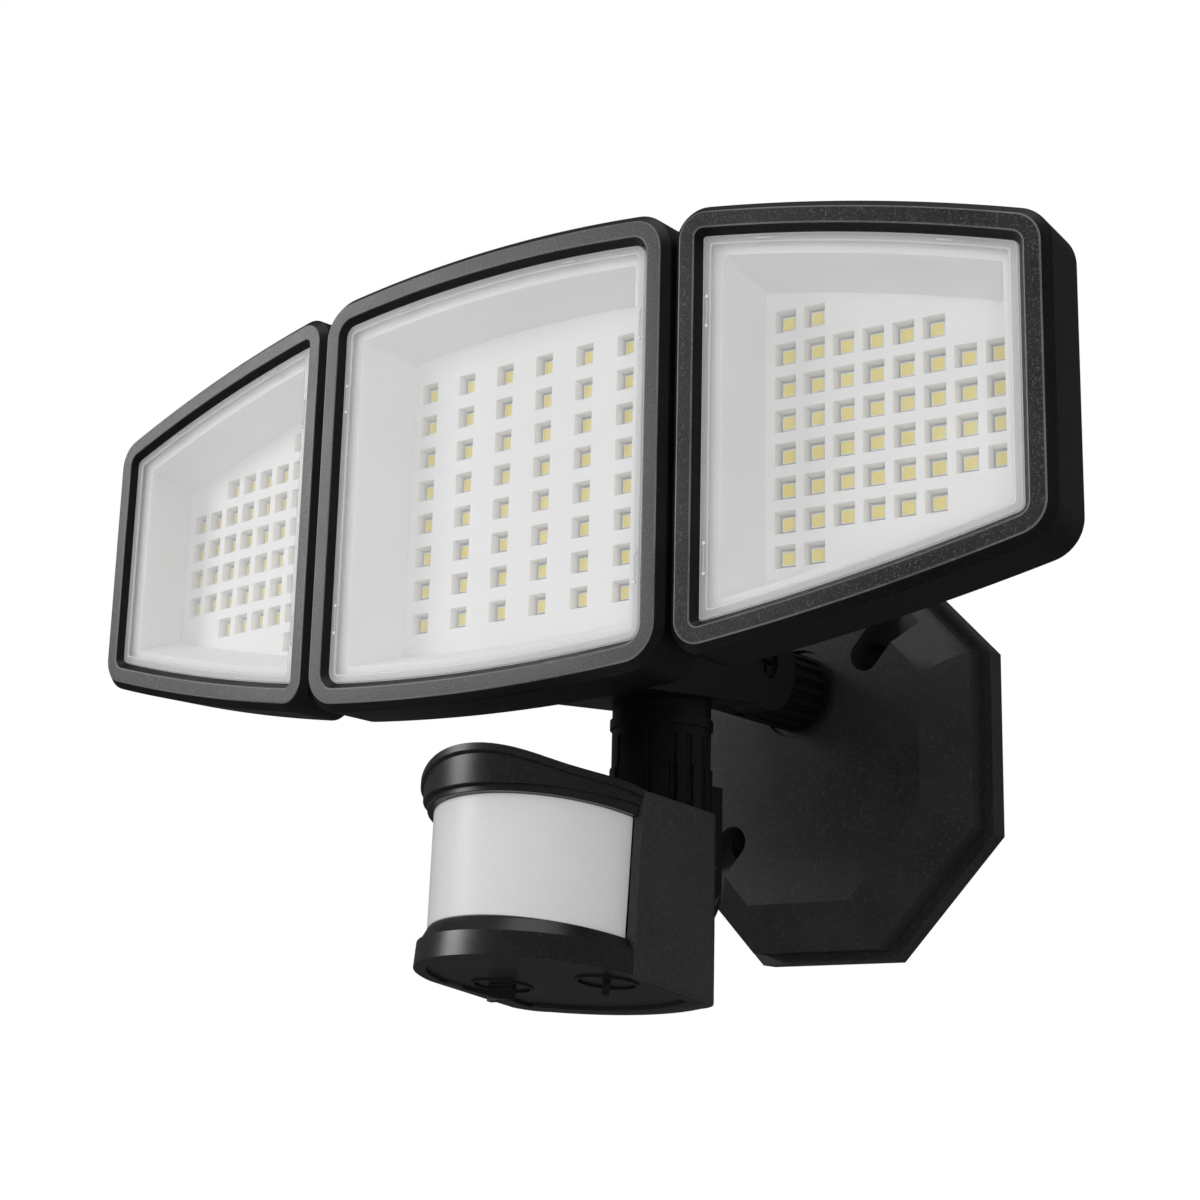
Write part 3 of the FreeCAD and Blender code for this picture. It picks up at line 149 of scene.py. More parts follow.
def build_grain_group():
    """Height is fine noise at Grain per metre. Fleck goes to 1 where a second noise is high."""
    tree, start, end = new_group("moulded grain", ["Grain", "Fleck Grain"], ["Height", "Fleck"])
    fine = add_node(tree, "ShaderNodeTexNoise", (-450, 150))
    fine.inputs["Detail"].default_value = 1.0
    tree.links.new(start.outputs["Vector"], fine.inputs["Vector"])
    tree.links.new(start.outputs["Grain"], fine.inputs["Scale"])
    fleck = add_node(tree, "ShaderNodeTexNoise", (-450, -150))
    fleck.inputs["Detail"].default_value = 0.0
    tree.links.new(start.outputs["Vector"], fleck.inputs["Vector"])
    tree.links.new(start.outputs["Fleck Grain"], fleck.inputs["Scale"])
    mask = ramp_between(tree, fleck.outputs["Fac"], FLECK_FROM, FLECK_TO, (-150, -150))
    tree.links.new(fine.outputs["Fac"], end.inputs["Height"])
    tree.links.new(mask, end.inputs["Fleck"])
    return tree


# %% Cloud group
CLOUD_FROM = 0.35
CLOUD_TO = 0.65


def build_cloud_group():
    """Cloud is slow noise at Size per metre, stretched from its middle range to 0..1."""
    tree, start, end = new_group("resin cloud", ["Size"], ["Cloud"])
    slow = add_node(tree, "ShaderNodeTexNoise", (-400, 0))
    slow.inputs["Detail"].default_value = 3.0
    tree.links.new(start.outputs["Vector"], slow.inputs["Vector"])
    tree.links.new(start.outputs["Size"], slow.inputs["Scale"])
    cloud = ramp_between(tree, slow.outputs["Fac"], CLOUD_FROM, CLOUD_TO, (-100, 0))
    tree.links.new(cloud, end.inputs["Cloud"])
    return tree


GRAIN = build_grain_group()
CLOUD = build_cloud_group()

# %% [markdown]
# ## Finishes
#
# A finish starts from a Principled shader. The two groups move its colour a little between two
# tones, shift its roughness, and feed a Bump node, so that one recipe makes black ABS, white
# reflector plastic and foam, each with its own numbers. The clear cover is the same recipe with a
# low Alpha: thin clear sheet hardly bends what is behind it, and only adds a faint haze and sheen.

# %% Recipe for a moulded finish
FLECK_SHARE = 0.6
CLOUD_SIZE = 40.0


def moulded(name, dark, light, rough, rough_spread, grain=2400.0, bump=0.1, depth=0.00002,
            speck=None, **plain):
    """Base Color goes from dark to light with the cloud, and to the speck colour where the flecks
    are. Roughness is rough plus rough_spread times the cloud. Height of the grain feeds Bump. Plain
    values go on the sockets."""
    material = bpy.data.materials.new(name)
    material.use_nodes = True
    tree = material.node_tree
    shader = tree.nodes["Principled BSDF"]
    place = add_node(tree, "ShaderNodeTexCoord", (-1100, 0))
    grain_node = add_node(tree, "ShaderNodeGroup", (-800, -100), node_tree=GRAIN)
    cloud_node = add_node(tree, "ShaderNodeGroup", (-800, 200), node_tree=CLOUD)
    grain_node.inputs["Grain"].default_value = grain
    grain_node.inputs["Fleck Grain"].default_value = grain * FLECK_SHARE
    cloud_node.inputs["Size"].default_value = CLOUD_SIZE
    for group in (grain_node, cloud_node):
        tree.links.new(place.outputs["Object"], group.inputs["Vector"])
    tone = add_node(tree, "ShaderNodeMix", (-500, 250), data_type="RGBA")
    tone.inputs["A"].default_value = (*dark, 1.0)
    tone.inputs["B"].default_value = (*light, 1.0)
    tree.links.new(cloud_node.outputs["Cloud"], tone.inputs["Factor"])
    flecked = add_node(tree, "ShaderNodeMix", (-250, 250), data_type="RGBA")
    flecked.inputs["B"].default_value = (*(speck or light), 1.0)
    tree.links.new(grain_node.outputs["Fleck"], flecked.inputs["Factor"])
    tree.links.new(tone.outputs["Result"], flecked.inputs["A"])
    tree.links.new(flecked.outputs["Result"], shader.inputs["Base Color"])
    gloss = add_node(tree, "ShaderNodeMath", (-400, 0), operation="MULTIPLY_ADD")
    gloss.inputs[1].default_value = rough_spread
    gloss.inputs[2].default_value = rough
    tree.links.new(cloud_node.outputs["Cloud"], gloss.inputs[0])
    tree.links.new(gloss.outputs["Value"], shader.inputs["Roughness"])
    relief = add_node(tree, "ShaderNodeBump", (-400, -250))
    relief.inputs["Strength"].default_value = bump
    relief.inputs["Distance"].default_value = depth
    tree.links.new(grain_node.outputs["Height"], relief.inputs["Height"])
    tree.links.new(relief.outputs["Normal"], shader.inputs["Normal"])
    for key, value in plain.items():
        shader.inputs[key.replace("_", " ")].default_value = value
    return material


# %% [markdown]
# The black parts are one resin with several textures: coarse spark grain with pale flecks on the
# faces that point at the viewer, and finer ones on the rest. The sensor housing and the wall plate
# get lighter copies of that black, painted light standing in for light on their sides. The white
# reflectors are nearly matt.
# Aluminium and plated steel are the same recipe with Metallic at 1. The clear plastic is thin
# sheet, so it is mostly see-through, and its folds and tabs less so.


# %% Tones
def grey(value):
    """The same value for red, green and blue."""
    return (value, value, value)


# %% Black finishes
FACE_BLACK = moulded("speckled_black", grey(0.011), grey(0.017), 0.38, 0.06, grain=3900.0, bump=0.9,
                     depth=0.00003, speck=grey(0.075), Specular_IOR_Level=0.85)
# Painted highlight: this lighter grey goes on the rounded edges of the frame faces and stands in for
# the light they catch.
EDGE_HIGHLIGHT_GREY = moulded("painted_edge_highlight", grey(0.09), grey(0.16), 0.28, 0.08, grain=1900.0, bump=0.3)
BODY_BLACK = moulded("satin_black", (0.003, 0.003, 0.0031), (0.006, 0.006, 0.0062), 0.40, 0.08,
                     grain=2600.0, bump=0.4, speck=grey(0.010))
SENSOR_BLACK = moulded("sensor_black", (0.007, 0.007, 0.0072), (0.010, 0.010, 0.0103), 0.28, 0.06,
                       grain=2600.0, bump=0.3, speck=grey(0.018), Specular_IOR_Level=0.8)
# Painted light: the sensor housing and the plate are the same resin as the rest, given lighter tones
# for the light their sides catch.
HOUSING_BLACK_PAINTED_LIGHT = moulded("housing_black_painted_light", (0.028, 0.028, 0.0283), (0.036, 0.036, 0.0364), 0.36, 0.08,
                        grain=2200.0, bump=0.4, depth=0.00003, speck=grey(0.046))
PLATE_BLACK_PAINTED_LIGHT = moulded("plate_black_painted_light", (0.016, 0.016, 0.0162), (0.023, 0.023, 0.0233), 0.38, 0.08,
                      grain=2200.0, bump=0.4, depth=0.00003, speck=grey(0.032))
FOAM = moulded("closed_foam", grey(0.012), grey(0.030), 0.90, 0.05, grain=1400.0, bump=0.8,
               depth=0.0001)

# %% White and metal finishes
REFLECTOR = moulded("reflector_white", grey(0.87), grey(0.90), 0.50, 0.06, Subsurface_Weight=0.35,
                    Subsurface_Radius=(1.0, 1.0, 1.0), Subsurface_Scale=0.003)
LED_BODY = moulded("led_package", (0.90, 0.90, 0.89), (0.94, 0.94, 0.93), 0.38, 0.05, bump=0.08)
LED_YELLOW = moulded("led_phosphor", (0.94, 0.80, 0.29), (0.97, 0.87, 0.40), 0.55, 0.08,
                     grain=5200.0, bump=0.3)
BOARD_WHITE = moulded("solder_mask", (0.62, 0.63, 0.62), (0.70, 0.71, 0.70), 0.35, 0.06, bump=0.08)
LENS_WHITE = moulded("milky_lens", (0.75, 0.75, 0.745), (0.77, 0.77, 0.765), 0.32, 0.03,
                     grain=900.0, bump=0.01)
ALUMINIUM = moulded("heat_plate", (0.60, 0.61, 0.62), (0.72, 0.73, 0.74), 0.38, 0.12, bump=0.15,
                    Metallic=1.0)
STEEL = moulded("plated_steel", (0.30, 0.30, 0.31), (0.45, 0.45, 0.46), 0.30, 0.15, bump=0.15,
                Metallic=1.0)
BLACK_STEEL = moulded("blackened_steel", grey(0.03), grey(0.06), 0.36, 0.10, bump=0.2,
                      Metallic=1.0)

# %% Clear finishes
CLEAR = moulded("clear_cover", (0.74, 0.745, 0.75), (0.80, 0.805, 0.81), 0.10, 0.06, bump=0.02,
                Alpha=0.05)
RIM_HAZE = moulded("clear_rim", (0.62, 0.625, 0.63), (0.70, 0.705, 0.71), 0.18, 0.06, bump=0.05,
                   Alpha=0.22)
# Painted highlight: this pale colour on the rim's folds stands in for the light they catch; the tab
# bars share the pale colour.
PALE_RIM_HIGHLIGHT = moulded("pale_rim_and_painted_highlight", grey(0.80), grey(0.86), 0.20, 0.05, bump=0.05, Alpha=0.55)
# Painted glint: the beads at the ends of the side tabs are white to stand in for the light they
# catch.
BEAD_GLINT_WHITE = moulded("rim_tab", grey(0.86), grey(0.92), 0.15, 0.05, bump=0.05)

# %% [markdown]
# ## Heads: one outline for everything
#
# Each head is a panel with two upright sides and two long arcs, with a rounded corner where they
# meet. Every ring on it, from the frame's edge to the clear cover's rim, is that outline moved
# inwards by some inset and back by some depth. So the outline is one function of the inset, and a
# solid ring is a small closed profile of (inset, depth) points carried round it.
#
# A point of a head has three numbers: u, away from the middle of the light, the depth behind the
# head's face, and the height z. A wing's LEDs start at u = 0, so its place is given there, at the
# depth of the LEDs. A head's "top" and "bottom" are the centre (u, z) and radius of its long arcs,
# and "draft" is how much the inside leans away on the inner side.

# %% Head sizes in millimetres
MM = 0.001
FRONT_Y = -171.4
HEAD_Z = 47.9
SEAM_X = 58.15
WING_SWEEP = math.radians(5.9)
LED_DEPTH = 19.5
LED_BACK = 20.2
WING_LED_X = 78.1
WING_LED_BACK = 3.3
WING_X = WING_LED_X + LED_DEPTH * math.sin(WING_SWEEP)
WING_Y = FRONT_Y + LED_DEPTH + WING_LED_BACK - LED_DEPTH * math.cos(WING_SWEEP)
LEAST_CORNER = 0.8
CORNER_STEPS = 14
ARC_STEPS = 56
SIDE_STEPS = 8
CENTRE_PITCH = 13.19

CENTRE = {"inner": -57.7, "outer": 57.7, "inner_r": 11.0, "outer_r": 11.0, "draft": 0.0,
          "top": (0.0, -345.3, 405.3), "bottom": (0.0, 545.5, 603.9),
          "rows": (8, 8, 8, 8, 8, 8), "pitch": (CENTRE_PITCH, 9.1), "first": -2.5 * CENTRE_PITCH}
WING = {"inner": -21.8, "outer": 72.3, "inner_r": 8.0, "outer_r": 9.5, "draft": 1.6,
        "top": (-78.5, -430.0, 490.0), "bottom": (-113.9, 637.6, 699.0),
        "rows": (8, 8, 6, 6, 6, 6, 4, 4), "pitch": (7.62, 8.34), "first": 0.0}
HEADS = {"centre": (CENTRE, "lamp"), "left": (WING, "left_wing"), "right": (WING, "right_wing")}


# %% Outline of a head
def corner_points(side, inward, circle, inset, radius, sign):
    """Arc of a radius that touches an upright side and a big arc, as points from side to arc, and
    the angle on the big arc where it ends."""
    cu, cz, big = circle[0], circle[1], circle[2] - inset
    fu = side + inward * radius
    fz = cz + sign * math.sqrt((big - radius) ** 2 - (fu - cu) ** 2)
    first = math.atan2(0.0, -inward)
    last = math.atan2(fz - cz, fu - cu)
    turn = (last - first + math.pi) % (2 * math.pi) - math.pi
    angles = first + turn * np.linspace(0, 1, CORNER_STEPS)
    return np.stack([fu + radius * np.cos(angles), fz + radius * np.sin(angles)], 1), last


def head_outline(head, inset, draft):
    """Closed outline of four rounded corners, two arcs and two sides. Its count of points is the
    same for any inset."""
    inner = head["inner"] + inset + draft
    outer = head["outer"] - inset
    inner_r = max(head["inner_r"] - inset, LEAST_CORNER)
    outer_r = max(head["outer_r"] - inset, LEAST_CORNER)
    parts = []
    for circle, sign in ((head["top"], 1), (head["bottom"], -1)):
        near, near_angle = corner_points(inner, 1, circle, inset, inner_r, sign)
        far, far_angle = corner_points(outer, -1, circle, inset, outer_r, sign)
        if sign < 0:
            near, far, near_angle, far_angle = far, near, far_angle, near_angle
        turn = (far_angle - near_angle + math.pi) % (2 * math.pi) - math.pi
        angles = near_angle + turn * np.linspace(0, 1, ARC_STEPS)[1:-1]
        big = circle[2] - inset
        arc = np.stack([circle[0] + big * np.cos(angles), circle[1] + big * np.sin(angles)], 1)
        parts.append(np.concatenate([near, arc, far[::-1]]))
    upper, lower = parts
    share = np.linspace(0, 1, SIDE_STEPS)[1:-1, None]
    down = upper[-1] + share * (lower[0] - upper[-1])
    up = lower[-1] + share * (upper[0] - lower[-1])
    return np.concatenate([upper, down, lower, up])


def place_head(which, points):
    """Points (u, depth, z) of a head moved to its place. The wings turn by the sweep, the left one
    is mirrored, and no wing point passes the seam next to the centre head. Millimetres in, metres
    out."""
    u, d, z = points[..., 0], points[..., 1], points[..., 2]
    if which == "centre":
        return np.stack([u, FRONT_Y + d, HEAD_Z + z], -1) * MM
    x = np.maximum(u * math.cos(WING_SWEEP) - d * math.sin(WING_SWEEP) + WING_X, SEAM_X)
    y = u * math.sin(WING_SWEEP) + d * math.cos(WING_SWEEP) + WING_Y
    side = -1.0 if which == "left" else 1.0
    return np.stack([side * x, y, HEAD_Z + z], -1) * MM


# %% Helpers that turn arrays into meshes
FULL_WEIGHT = 100


def grid_faces(rows, columns, wrap_rows=True):
    """Corner indices of the quads between neighbours of a grid whose columns wrap round, and its
    rows too where asked."""
    r = np.arange(rows if wrap_rows else rows - 1)[:, None]
    c = np.arange(columns)[None, :]
    r2, c2 = (r + 1) % rows, (c + 1) % columns
    corners = [r * columns + c, r * columns + c2, r2 * columns + c2, r2 * columns + c]
    return np.stack(corners, -1).reshape(-1, 4)


def closed_volume(points, faces):
    """Volume inside closed quads: the sum of a . (b x c) / 6 over the two triangles of each."""
    a, b, c, d = (points[faces[:, i]] for i in range(4))
    return float((a * (np.cross(b, c) + np.cross(c, d))).sum() / 6)


def solid_from(name, points, faces, materials, body, smooth=True, which_material=0):
    """Closed mesh from arrays, turned the right way out by the sign of its volume. It rides on a
    body, and which_material numbers the material of each face."""
    points = np.asarray(points, float).reshape(-1, 3)
    if closed_volume(points, faces) < 0:
        faces = faces[:, ::-1]
    mesh = bpy.data.meshes.new(name)
    mesh.from_pydata(points.tolist(), [], faces.tolist())
    mesh.polygons.foreach_set("use_smooth", [smooth] * len(mesh.polygons))
    for material in materials:
        mesh.materials.append(material)
    mesh.polygons.foreach_set("material_index", np.zeros(len(faces), int) + which_material)
    piece = bpy.data.objects.new(name, mesh)
    bpy.context.scene.collection.objects.link(piece)
    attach(piece, body)
    return piece


def keep_flats_flat(piece):
    """Weighted normals, so that the wide flat faces keep their shading beside small roundings."""
    weigh = piece.modifiers.new("weigh", "WEIGHTED_NORMAL")
    weigh.weight = FULL_WEIGHT
    weigh.keep_sharp = True


# %% [markdown]
# Moulded edges are never sharp: each corner of a profile is swapped for a small curve, and that
# catches light along the frames. The thin bright lines at the edges of the frame's face are also a
# painted highlight, a lighter grey on those curves.

# %% Rounded profile and ring
EDGE_STEPS = 4
MOST_OF_SIDE = 0.45


def towards(here, side, reach):
    """Points a reach away along a side, but never further than MOST_OF_SIDE of it."""
    length = np.linalg.norm(side[:, :2], axis=1, keepdims=True)
    return here + side * np.minimum(reach / length, MOST_OF_SIDE)


def rounded(corners):
    """Closed profile from corners (inset, depth, draft, reach). Each corner becomes a curve from a
    to b, which lie one reach away from it: (1-t)^2 a + 2t(1-t) corner + t^2 b."""
    corners = np.array(corners, float)
    here, reach = corners[:, :3], corners[:, 3:4]
    a = towards(here, np.roll(here, 1, 0) - here, reach)
    b = towards(here, np.roll(here, -1, 0) - here, reach)
    t = np.linspace(0, 1, EDGE_STEPS)[None, :, None]
    curve = (1 - t) ** 2 * a[:, None] + 2 * t * (1 - t) * here[:, None] + t ** 2 * b[:, None]
    return curve.reshape(-1, 3)


def outline_loops(which, profile):
    """One outline of a head for each (inset, depth, draft) of a profile, in metres and in place."""
    loops = []
    for inset, depth, draft in profile:
        flat = head_outline(HEADS[which][0], inset, draft)
        loops.append(np.stack([flat[:, 0], np.full(len(flat), depth), flat[:, 1]], 1))
    return place_head(which, np.array(loops))


def ring(name, which, corners, materials, finishes):
    """Solid ring: a rounded profile carried round a head's outline. Finishes give, for each corner,
    the number of the material on its curve and on the flat that follows it."""
    points = outline_loops(which, rounded(corners))
    bands = np.repeat(np.array(finishes).reshape(-1), np.tile((EDGE_STEPS - 1, 1), len(corners)))
    rows, count = points.shape[:2]
    piece = solid_from(name, points, grid_faces(rows, count), materials, HEADS[which][1],
                       which_material=np.repeat(bands, count))
    keep_flats_flat(piece)
    return piece


# %% [markdown]
# ## Frames
#
# The frame is a chamfered ring: a 45 degree chamfer outside, a flat speckled face, and a bevelled
# lip that drops to the cover. Its back edge is 17.9 mm behind its face. The two rounded edges of the
# face are painted a lighter grey, a painted highlight that draws fine light lines, and the chamfer
# and lip are plain black. The last number of each corner is how far its rounding reaches.

# %% Frames
FRAME_DEPTH = 17.9
CHAMFER = 2.05
FACE_END = 5.9
LIP_END = 7.6
LIP_T = 2.2
WALL_T = 2.6


def head_frame(which):
    """Ring with seven corners: outer back, chamfer (two), face end, lip end, and two of the hollow
    behind the lip."""
    draft = HEADS[which][0]["draft"]
    corners = [(0, FRAME_DEPTH, 0, 0.5), (0, CHAMFER, 0, 0.35), (CHAMFER, 0, 0, 0.24),
               (FACE_END, 0, 0, 0.24), (LIP_END, LIP_T, 0, 0.2), (WALL_T, LIP_T, draft, 0.1),
               (WALL_T, FRAME_DEPTH, draft, 0.2)]
    # Material 2, on the curves at the two edges of the face, is the painted highlight grey.
    finishes = ((0, 0), (0, 0), (2, 1), (2, 0), (0, 0), (0, 0), (0, 0))
    piece = ring(which + "_face_frame", which, corners, (BODY_BLACK, FACE_BLACK, EDGE_HIGHLIGHT_GREY),
                 finishes)
    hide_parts(which + "_frame")
    return piece


for which in HEADS:
    print(head_frame(which).name)

# %% [markdown]
# ## Clear panes
#
# The pane is a plate with the head's outline. Its back stays a twentieth of a millimetre clear of
# the white tray: where pane and tray touch, a ray can't tell which face comes first, and the tray
# shows blotches.

# %% Panes
PANE_INSET = 2.8
PANE_FRONT = 2.22
PANE_BACK = 3.75
PANE_BREAK = 0.15


def cover_pane(which):
    """Plate between two depths with its edges broken: four loops of the outline, and caps of quads
    between the upper and lower halves of the first and last."""
    draft = HEADS[which][0]["draft"]
    broken = PANE_INSET + PANE_BREAK
    points = outline_loops(which, [(broken, PANE_FRONT, draft),
                                   (PANE_INSET, PANE_FRONT + PANE_BREAK, draft),
                                   (PANE_INSET, PANE_BACK - PANE_BREAK, draft),
                                   (broken, PANE_BACK, draft)])
    rows, count = points.shape[:2]
    i = np.arange(count // 2 - 1)
    cap = np.stack([i, i + 1, count - 2 - i, count - 1 - i], 1)
    sides = grid_faces(rows, count, wrap_rows=False)
    faces = np.concatenate([sides, cap[:, ::-1], cap + (rows - 1) * count])
    piece = solid_from(which + "_cover_pane", points, faces, (CLEAR,), HEADS[which][1],
                       smooth=False)
    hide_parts(which + "_cover")
    return piece


for which in HEADS:
    print(cover_pane(which).name)

# %% [markdown]
# ## Rim of the clear cover
#
# Round each cover the clear plastic is folded up into a low rim just inside the frame. On the near
# side it shows the white reflector behind it, and on the far side the shade under the frame's lip,
# so it can't be painted grey: it is mostly see-through, and its two folds get a pale painted
# highlight that draws pale lines.

# %% Cover rims
RIM_OUT = 7.7
RIM_IN = 10.0
RIM_TOP = 1.55
RIM_FOOT = 2.15
RIM_FALL = 0.1
RIM_SHOULDER = 0.25
RIM_TOE = 0.05


def cover_rim(which):
    """Low ring on the cover, just inside the lip, with rounded shoulders. Its top falls inwards."""
    corners = [(RIM_OUT, RIM_FOOT, 0, RIM_TOE), (RIM_OUT + RIM_FALL, RIM_TOP, 0, RIM_SHOULDER),
               (RIM_IN - RIM_SHOULDER, RIM_TOP + RIM_FALL, 0, RIM_SHOULDER),
               (RIM_IN, RIM_FOOT, 0, RIM_TOE)]
    # The shoulder curves get the pale painted highlight.
    return ring(which + "_cover_rim", which, corners, (RIM_HAZE, PALE_RIM_HIGHLIGHT),
                ((0, 0), (1, 0), (1, 0), (0, 0)))


for which in HEADS:
    print(cover_rim(which).name)


# %% [markdown]
# ## LEDs
#
# Each LED is a white package with a shallow well full of yellow phosphor. There are forty-eight on
# each head, so one LED has only a few faces, and all of a head's packages are one mesh: a unit
# shape copied to an array of places by adding their coordinates. The phosphor is a second one.

# %% LED packages and phosphor
LED_W = 3.6
LED_H = 3.4
LED_BREAK = 0.08
LED_TAPER = 0.06
LED_CUT = 0.15
WELL_BORDER = 0.22
WELL_DEPTH = 0.12
WELL_CUT = 0.25
PHOSPHOR_GAP = 0.05
PHOSPHOR_EDGE = 0.06
PHOSPHOR_CROWN = 0.02
PHOSPHOR_SLOPE = 0.25
PHOSPHOR_CUT = 0.2


def led_places(head):
    """Centres (u, z) of the LEDs, column by column, each column centred on the middle line."""
    pitch_u, pitch_z = head["pitch"]
    return np.array([(head["first"] + i * pitch_u, (j - (count - 1) / 2) * pitch_z)
                     for i, count in enumerate(head["rows"]) for j in range(count)])


def square_loop(half_u, half_z, depth, cut):
    """Eight points of a rectangle with its corners cut off, at a depth."""
    flat = np.array([(-1, -1), (1, -1), (1, 1), (-1, 1)]) * (half_u, half_z)
    sides = [np.roll(flat, step, 0) - flat for step in (1, -1)]
    ends = [flat + side / np.linalg.norm(side, axis=1, keepdims=True) * cut for side in sides]
    pairs = np.stack(ends, 1).reshape(-1, 2)
    return np.stack([pairs[:, 0], np.full(8, depth), pairs[:, 1]], 1)


def stacked(loops):
    """Closed solid from loops of eight points: bands between them, and three quads at each end."""
    points = np.concatenate(loops)
    bands = grid_faces(len(loops), 8, wrap_rows=False)
    cap = np.array([(0, 1, 2, 3), (0, 3, 4, 7), (4, 5, 6, 7)])
    last = (len(loops) - 1) * 8
    return points, np.concatenate([bands, cap[:, ::-1], cap + last])


def led_mesh(which, name, loops, material):
    """One unit shape repeated at every LED place of a head."""
    head, body = HEADS[which]
    unit_points, unit_faces = stacked(loops)
    places = led_places(head)
    moves = np.stack([places[:, 0], np.zeros(len(places)), places[:, 1]], 1)
    points = (unit_points[None] + moves[:, None]).reshape(-1, 3)
    step = np.arange(len(places))[:, None, None] * len(unit_points)
    faces = (unit_faces[None] + step).reshape(-1, 4)
    return solid_from(name, place_head(which, points), faces, (material,), body,
                      smooth=False)


def led_stack(*levels):
    """Loops of an LED's outline, one for each (inset, depth behind the package's front, cut)."""
    return [square_loop(LED_W / 2 - inset, LED_H / 2 - inset, LED_DEPTH + depth, cut)
            for inset, depth, cut in levels]


def head_leds(which):
    """White packages with a well, and the phosphor that nearly fills it, highest in the middle."""
    package = led_stack((0, LED_BACK - LED_DEPTH, LED_CUT), (0, LED_BREAK, LED_CUT),
                        (LED_TAPER, 0, LED_CUT), (WELL_BORDER, 0, WELL_CUT),
                        (WELL_BORDER + LED_BREAK, WELL_DEPTH, WELL_CUT))
    edge = WELL_BORDER + PHOSPHOR_GAP
    phosphor = led_stack((edge, WELL_DEPTH + PHOSPHOR_GAP, WELL_CUT),
                         (edge, PHOSPHOR_EDGE, WELL_CUT),
                         (edge + PHOSPHOR_SLOPE, PHOSPHOR_CROWN, PHOSPHOR_CUT))
    piece = led_mesh(which, which + "_led_packages", package, LED_BODY)
    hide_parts(which + "_leds")
    led_mesh(which, which + "_led_phosphor", phosphor, LED_YELLOW)


for which in HEADS:
    head_leds(which)
print("LEDs a head:", [len(led_places(HEADS[w][0])) for w in HEADS])

# %% [markdown]
# ## Snap tabs on the rims
#
# The cover snaps into its frame with tabs. What shows from the front is a short hazy bar on the top
# edge, and on each side a slim bar between two beads, which are painted white, a painted glint for
# the light they catch. Each is the same low stack of eight-sided loops as an LED, turned along the
# edge that it sits on.

# %% Snap tabs
RIM_MID = 8.85
TAB_FOOT = 1.7
TAB_TOP = 1.5
TOP_TABS = {"centre": (-29.2, 26.3), "left": (2.2, 47.4), "right": (2.2, 47.4)}
SIDE_TABS = (28.8, -31.8)
BEAD_GAP = 3.65
TAB_BREAK = 0.08
TOP_BAR = (2.0, 0.3, TAB_TOP)
SIDE_BAR = (BEAD_GAP - 0.6, 0.16, TAB_TOP + 0.04)
BEAD = (0.42, 0.36, TAB_TOP - 0.12)


def tab_loops(u, z, angle, size):
    """Low bar at (u, z), turned by an angle, with a smaller top than foot. Its size is half its
    length, half its width and the depth of its top."""
    half_length, half_width, top = size
    levels = ((0.0, TAB_FOOT), (0.0, (TAB_FOOT + top) / 2), (TAB_BREAK, top))
    loops = np.array([square_loop(half_length - shrink, half_width - shrink, depth, half_width / 2)
                      for shrink, depth in levels])
    along = loops[..., 0] * math.cos(angle) - loops[..., 2] * math.sin(angle)
    across = loops[..., 0] * math.sin(angle) + loops[..., 2] * math.cos(angle)
    return list(np.stack([along + u, loops[..., 1], across + z], -1))


def rim_tabs(which):
    """Bars on the top edge, and bars and beads on the upright sides, as one mesh."""
    head, body = HEADS[which]
    cu, cz, big = head["top"][0], head["top"][1], head["top"][2] - RIM_MID
    stacks = []
    for u in TOP_TABS[which]:
        angle = -math.asin((u - cu) / big)
        stacks.append(tab_loops(u, cz + big * math.cos(angle), angle, TOP_BAR))
    sides = [head["inner"] + RIM_MID] + ([head["outer"] - RIM_MID] if which == "centre" else [])
    upright = math.pi / 2
    for u in sides:
        for z in SIDE_TABS:
            stacks.append(tab_loops(u, z, upright, SIDE_BAR))
            stacks += [tab_loops(u, z + end, upright, BEAD) for end in (-BEAD_GAP, BEAD_GAP)]
    # The beads get the white of the painted glint.
    is_bead = [0] * len(TOP_TABS[which]) + [0, 1, 1] * (len(sides) * len(SIDE_TABS))
    points = np.concatenate([stacked(loops)[0] for loops in stacks])
    one = stacked(stacks[0])
    step = np.arange(len(stacks))[:, None, None] * len(one[0])
    faces = (one[1][None] + step).reshape(-1, 4)
    return solid_from(which + "_rim_tabs", place_head(which, points), faces,
                      (PALE_RIM_HIGHLIGHT, BEAD_GLINT_WHITE), body,
                      which_material=np.repeat(is_bead, len(one[1])))


for which in HEADS:
    print(rim_tabs(which).name)

# %% [markdown]
# ## Rounding the moulded bodies
#
# The plate, housings, post, sensor and rear shells have the right shapes already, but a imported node
# is a skin of loose triangles with razor edges. A copy is welded, its flat faces are joined up, and
# a Bevel modifier rounds every edge sharper than a limit.

# %% Softened copies of CAD bodies
FLAT_ANGLE = math.radians(0.4)
EDGE_ANGLE = math.radians(26.0)
WELD = 2e-6
BEVEL_STEPS = 2


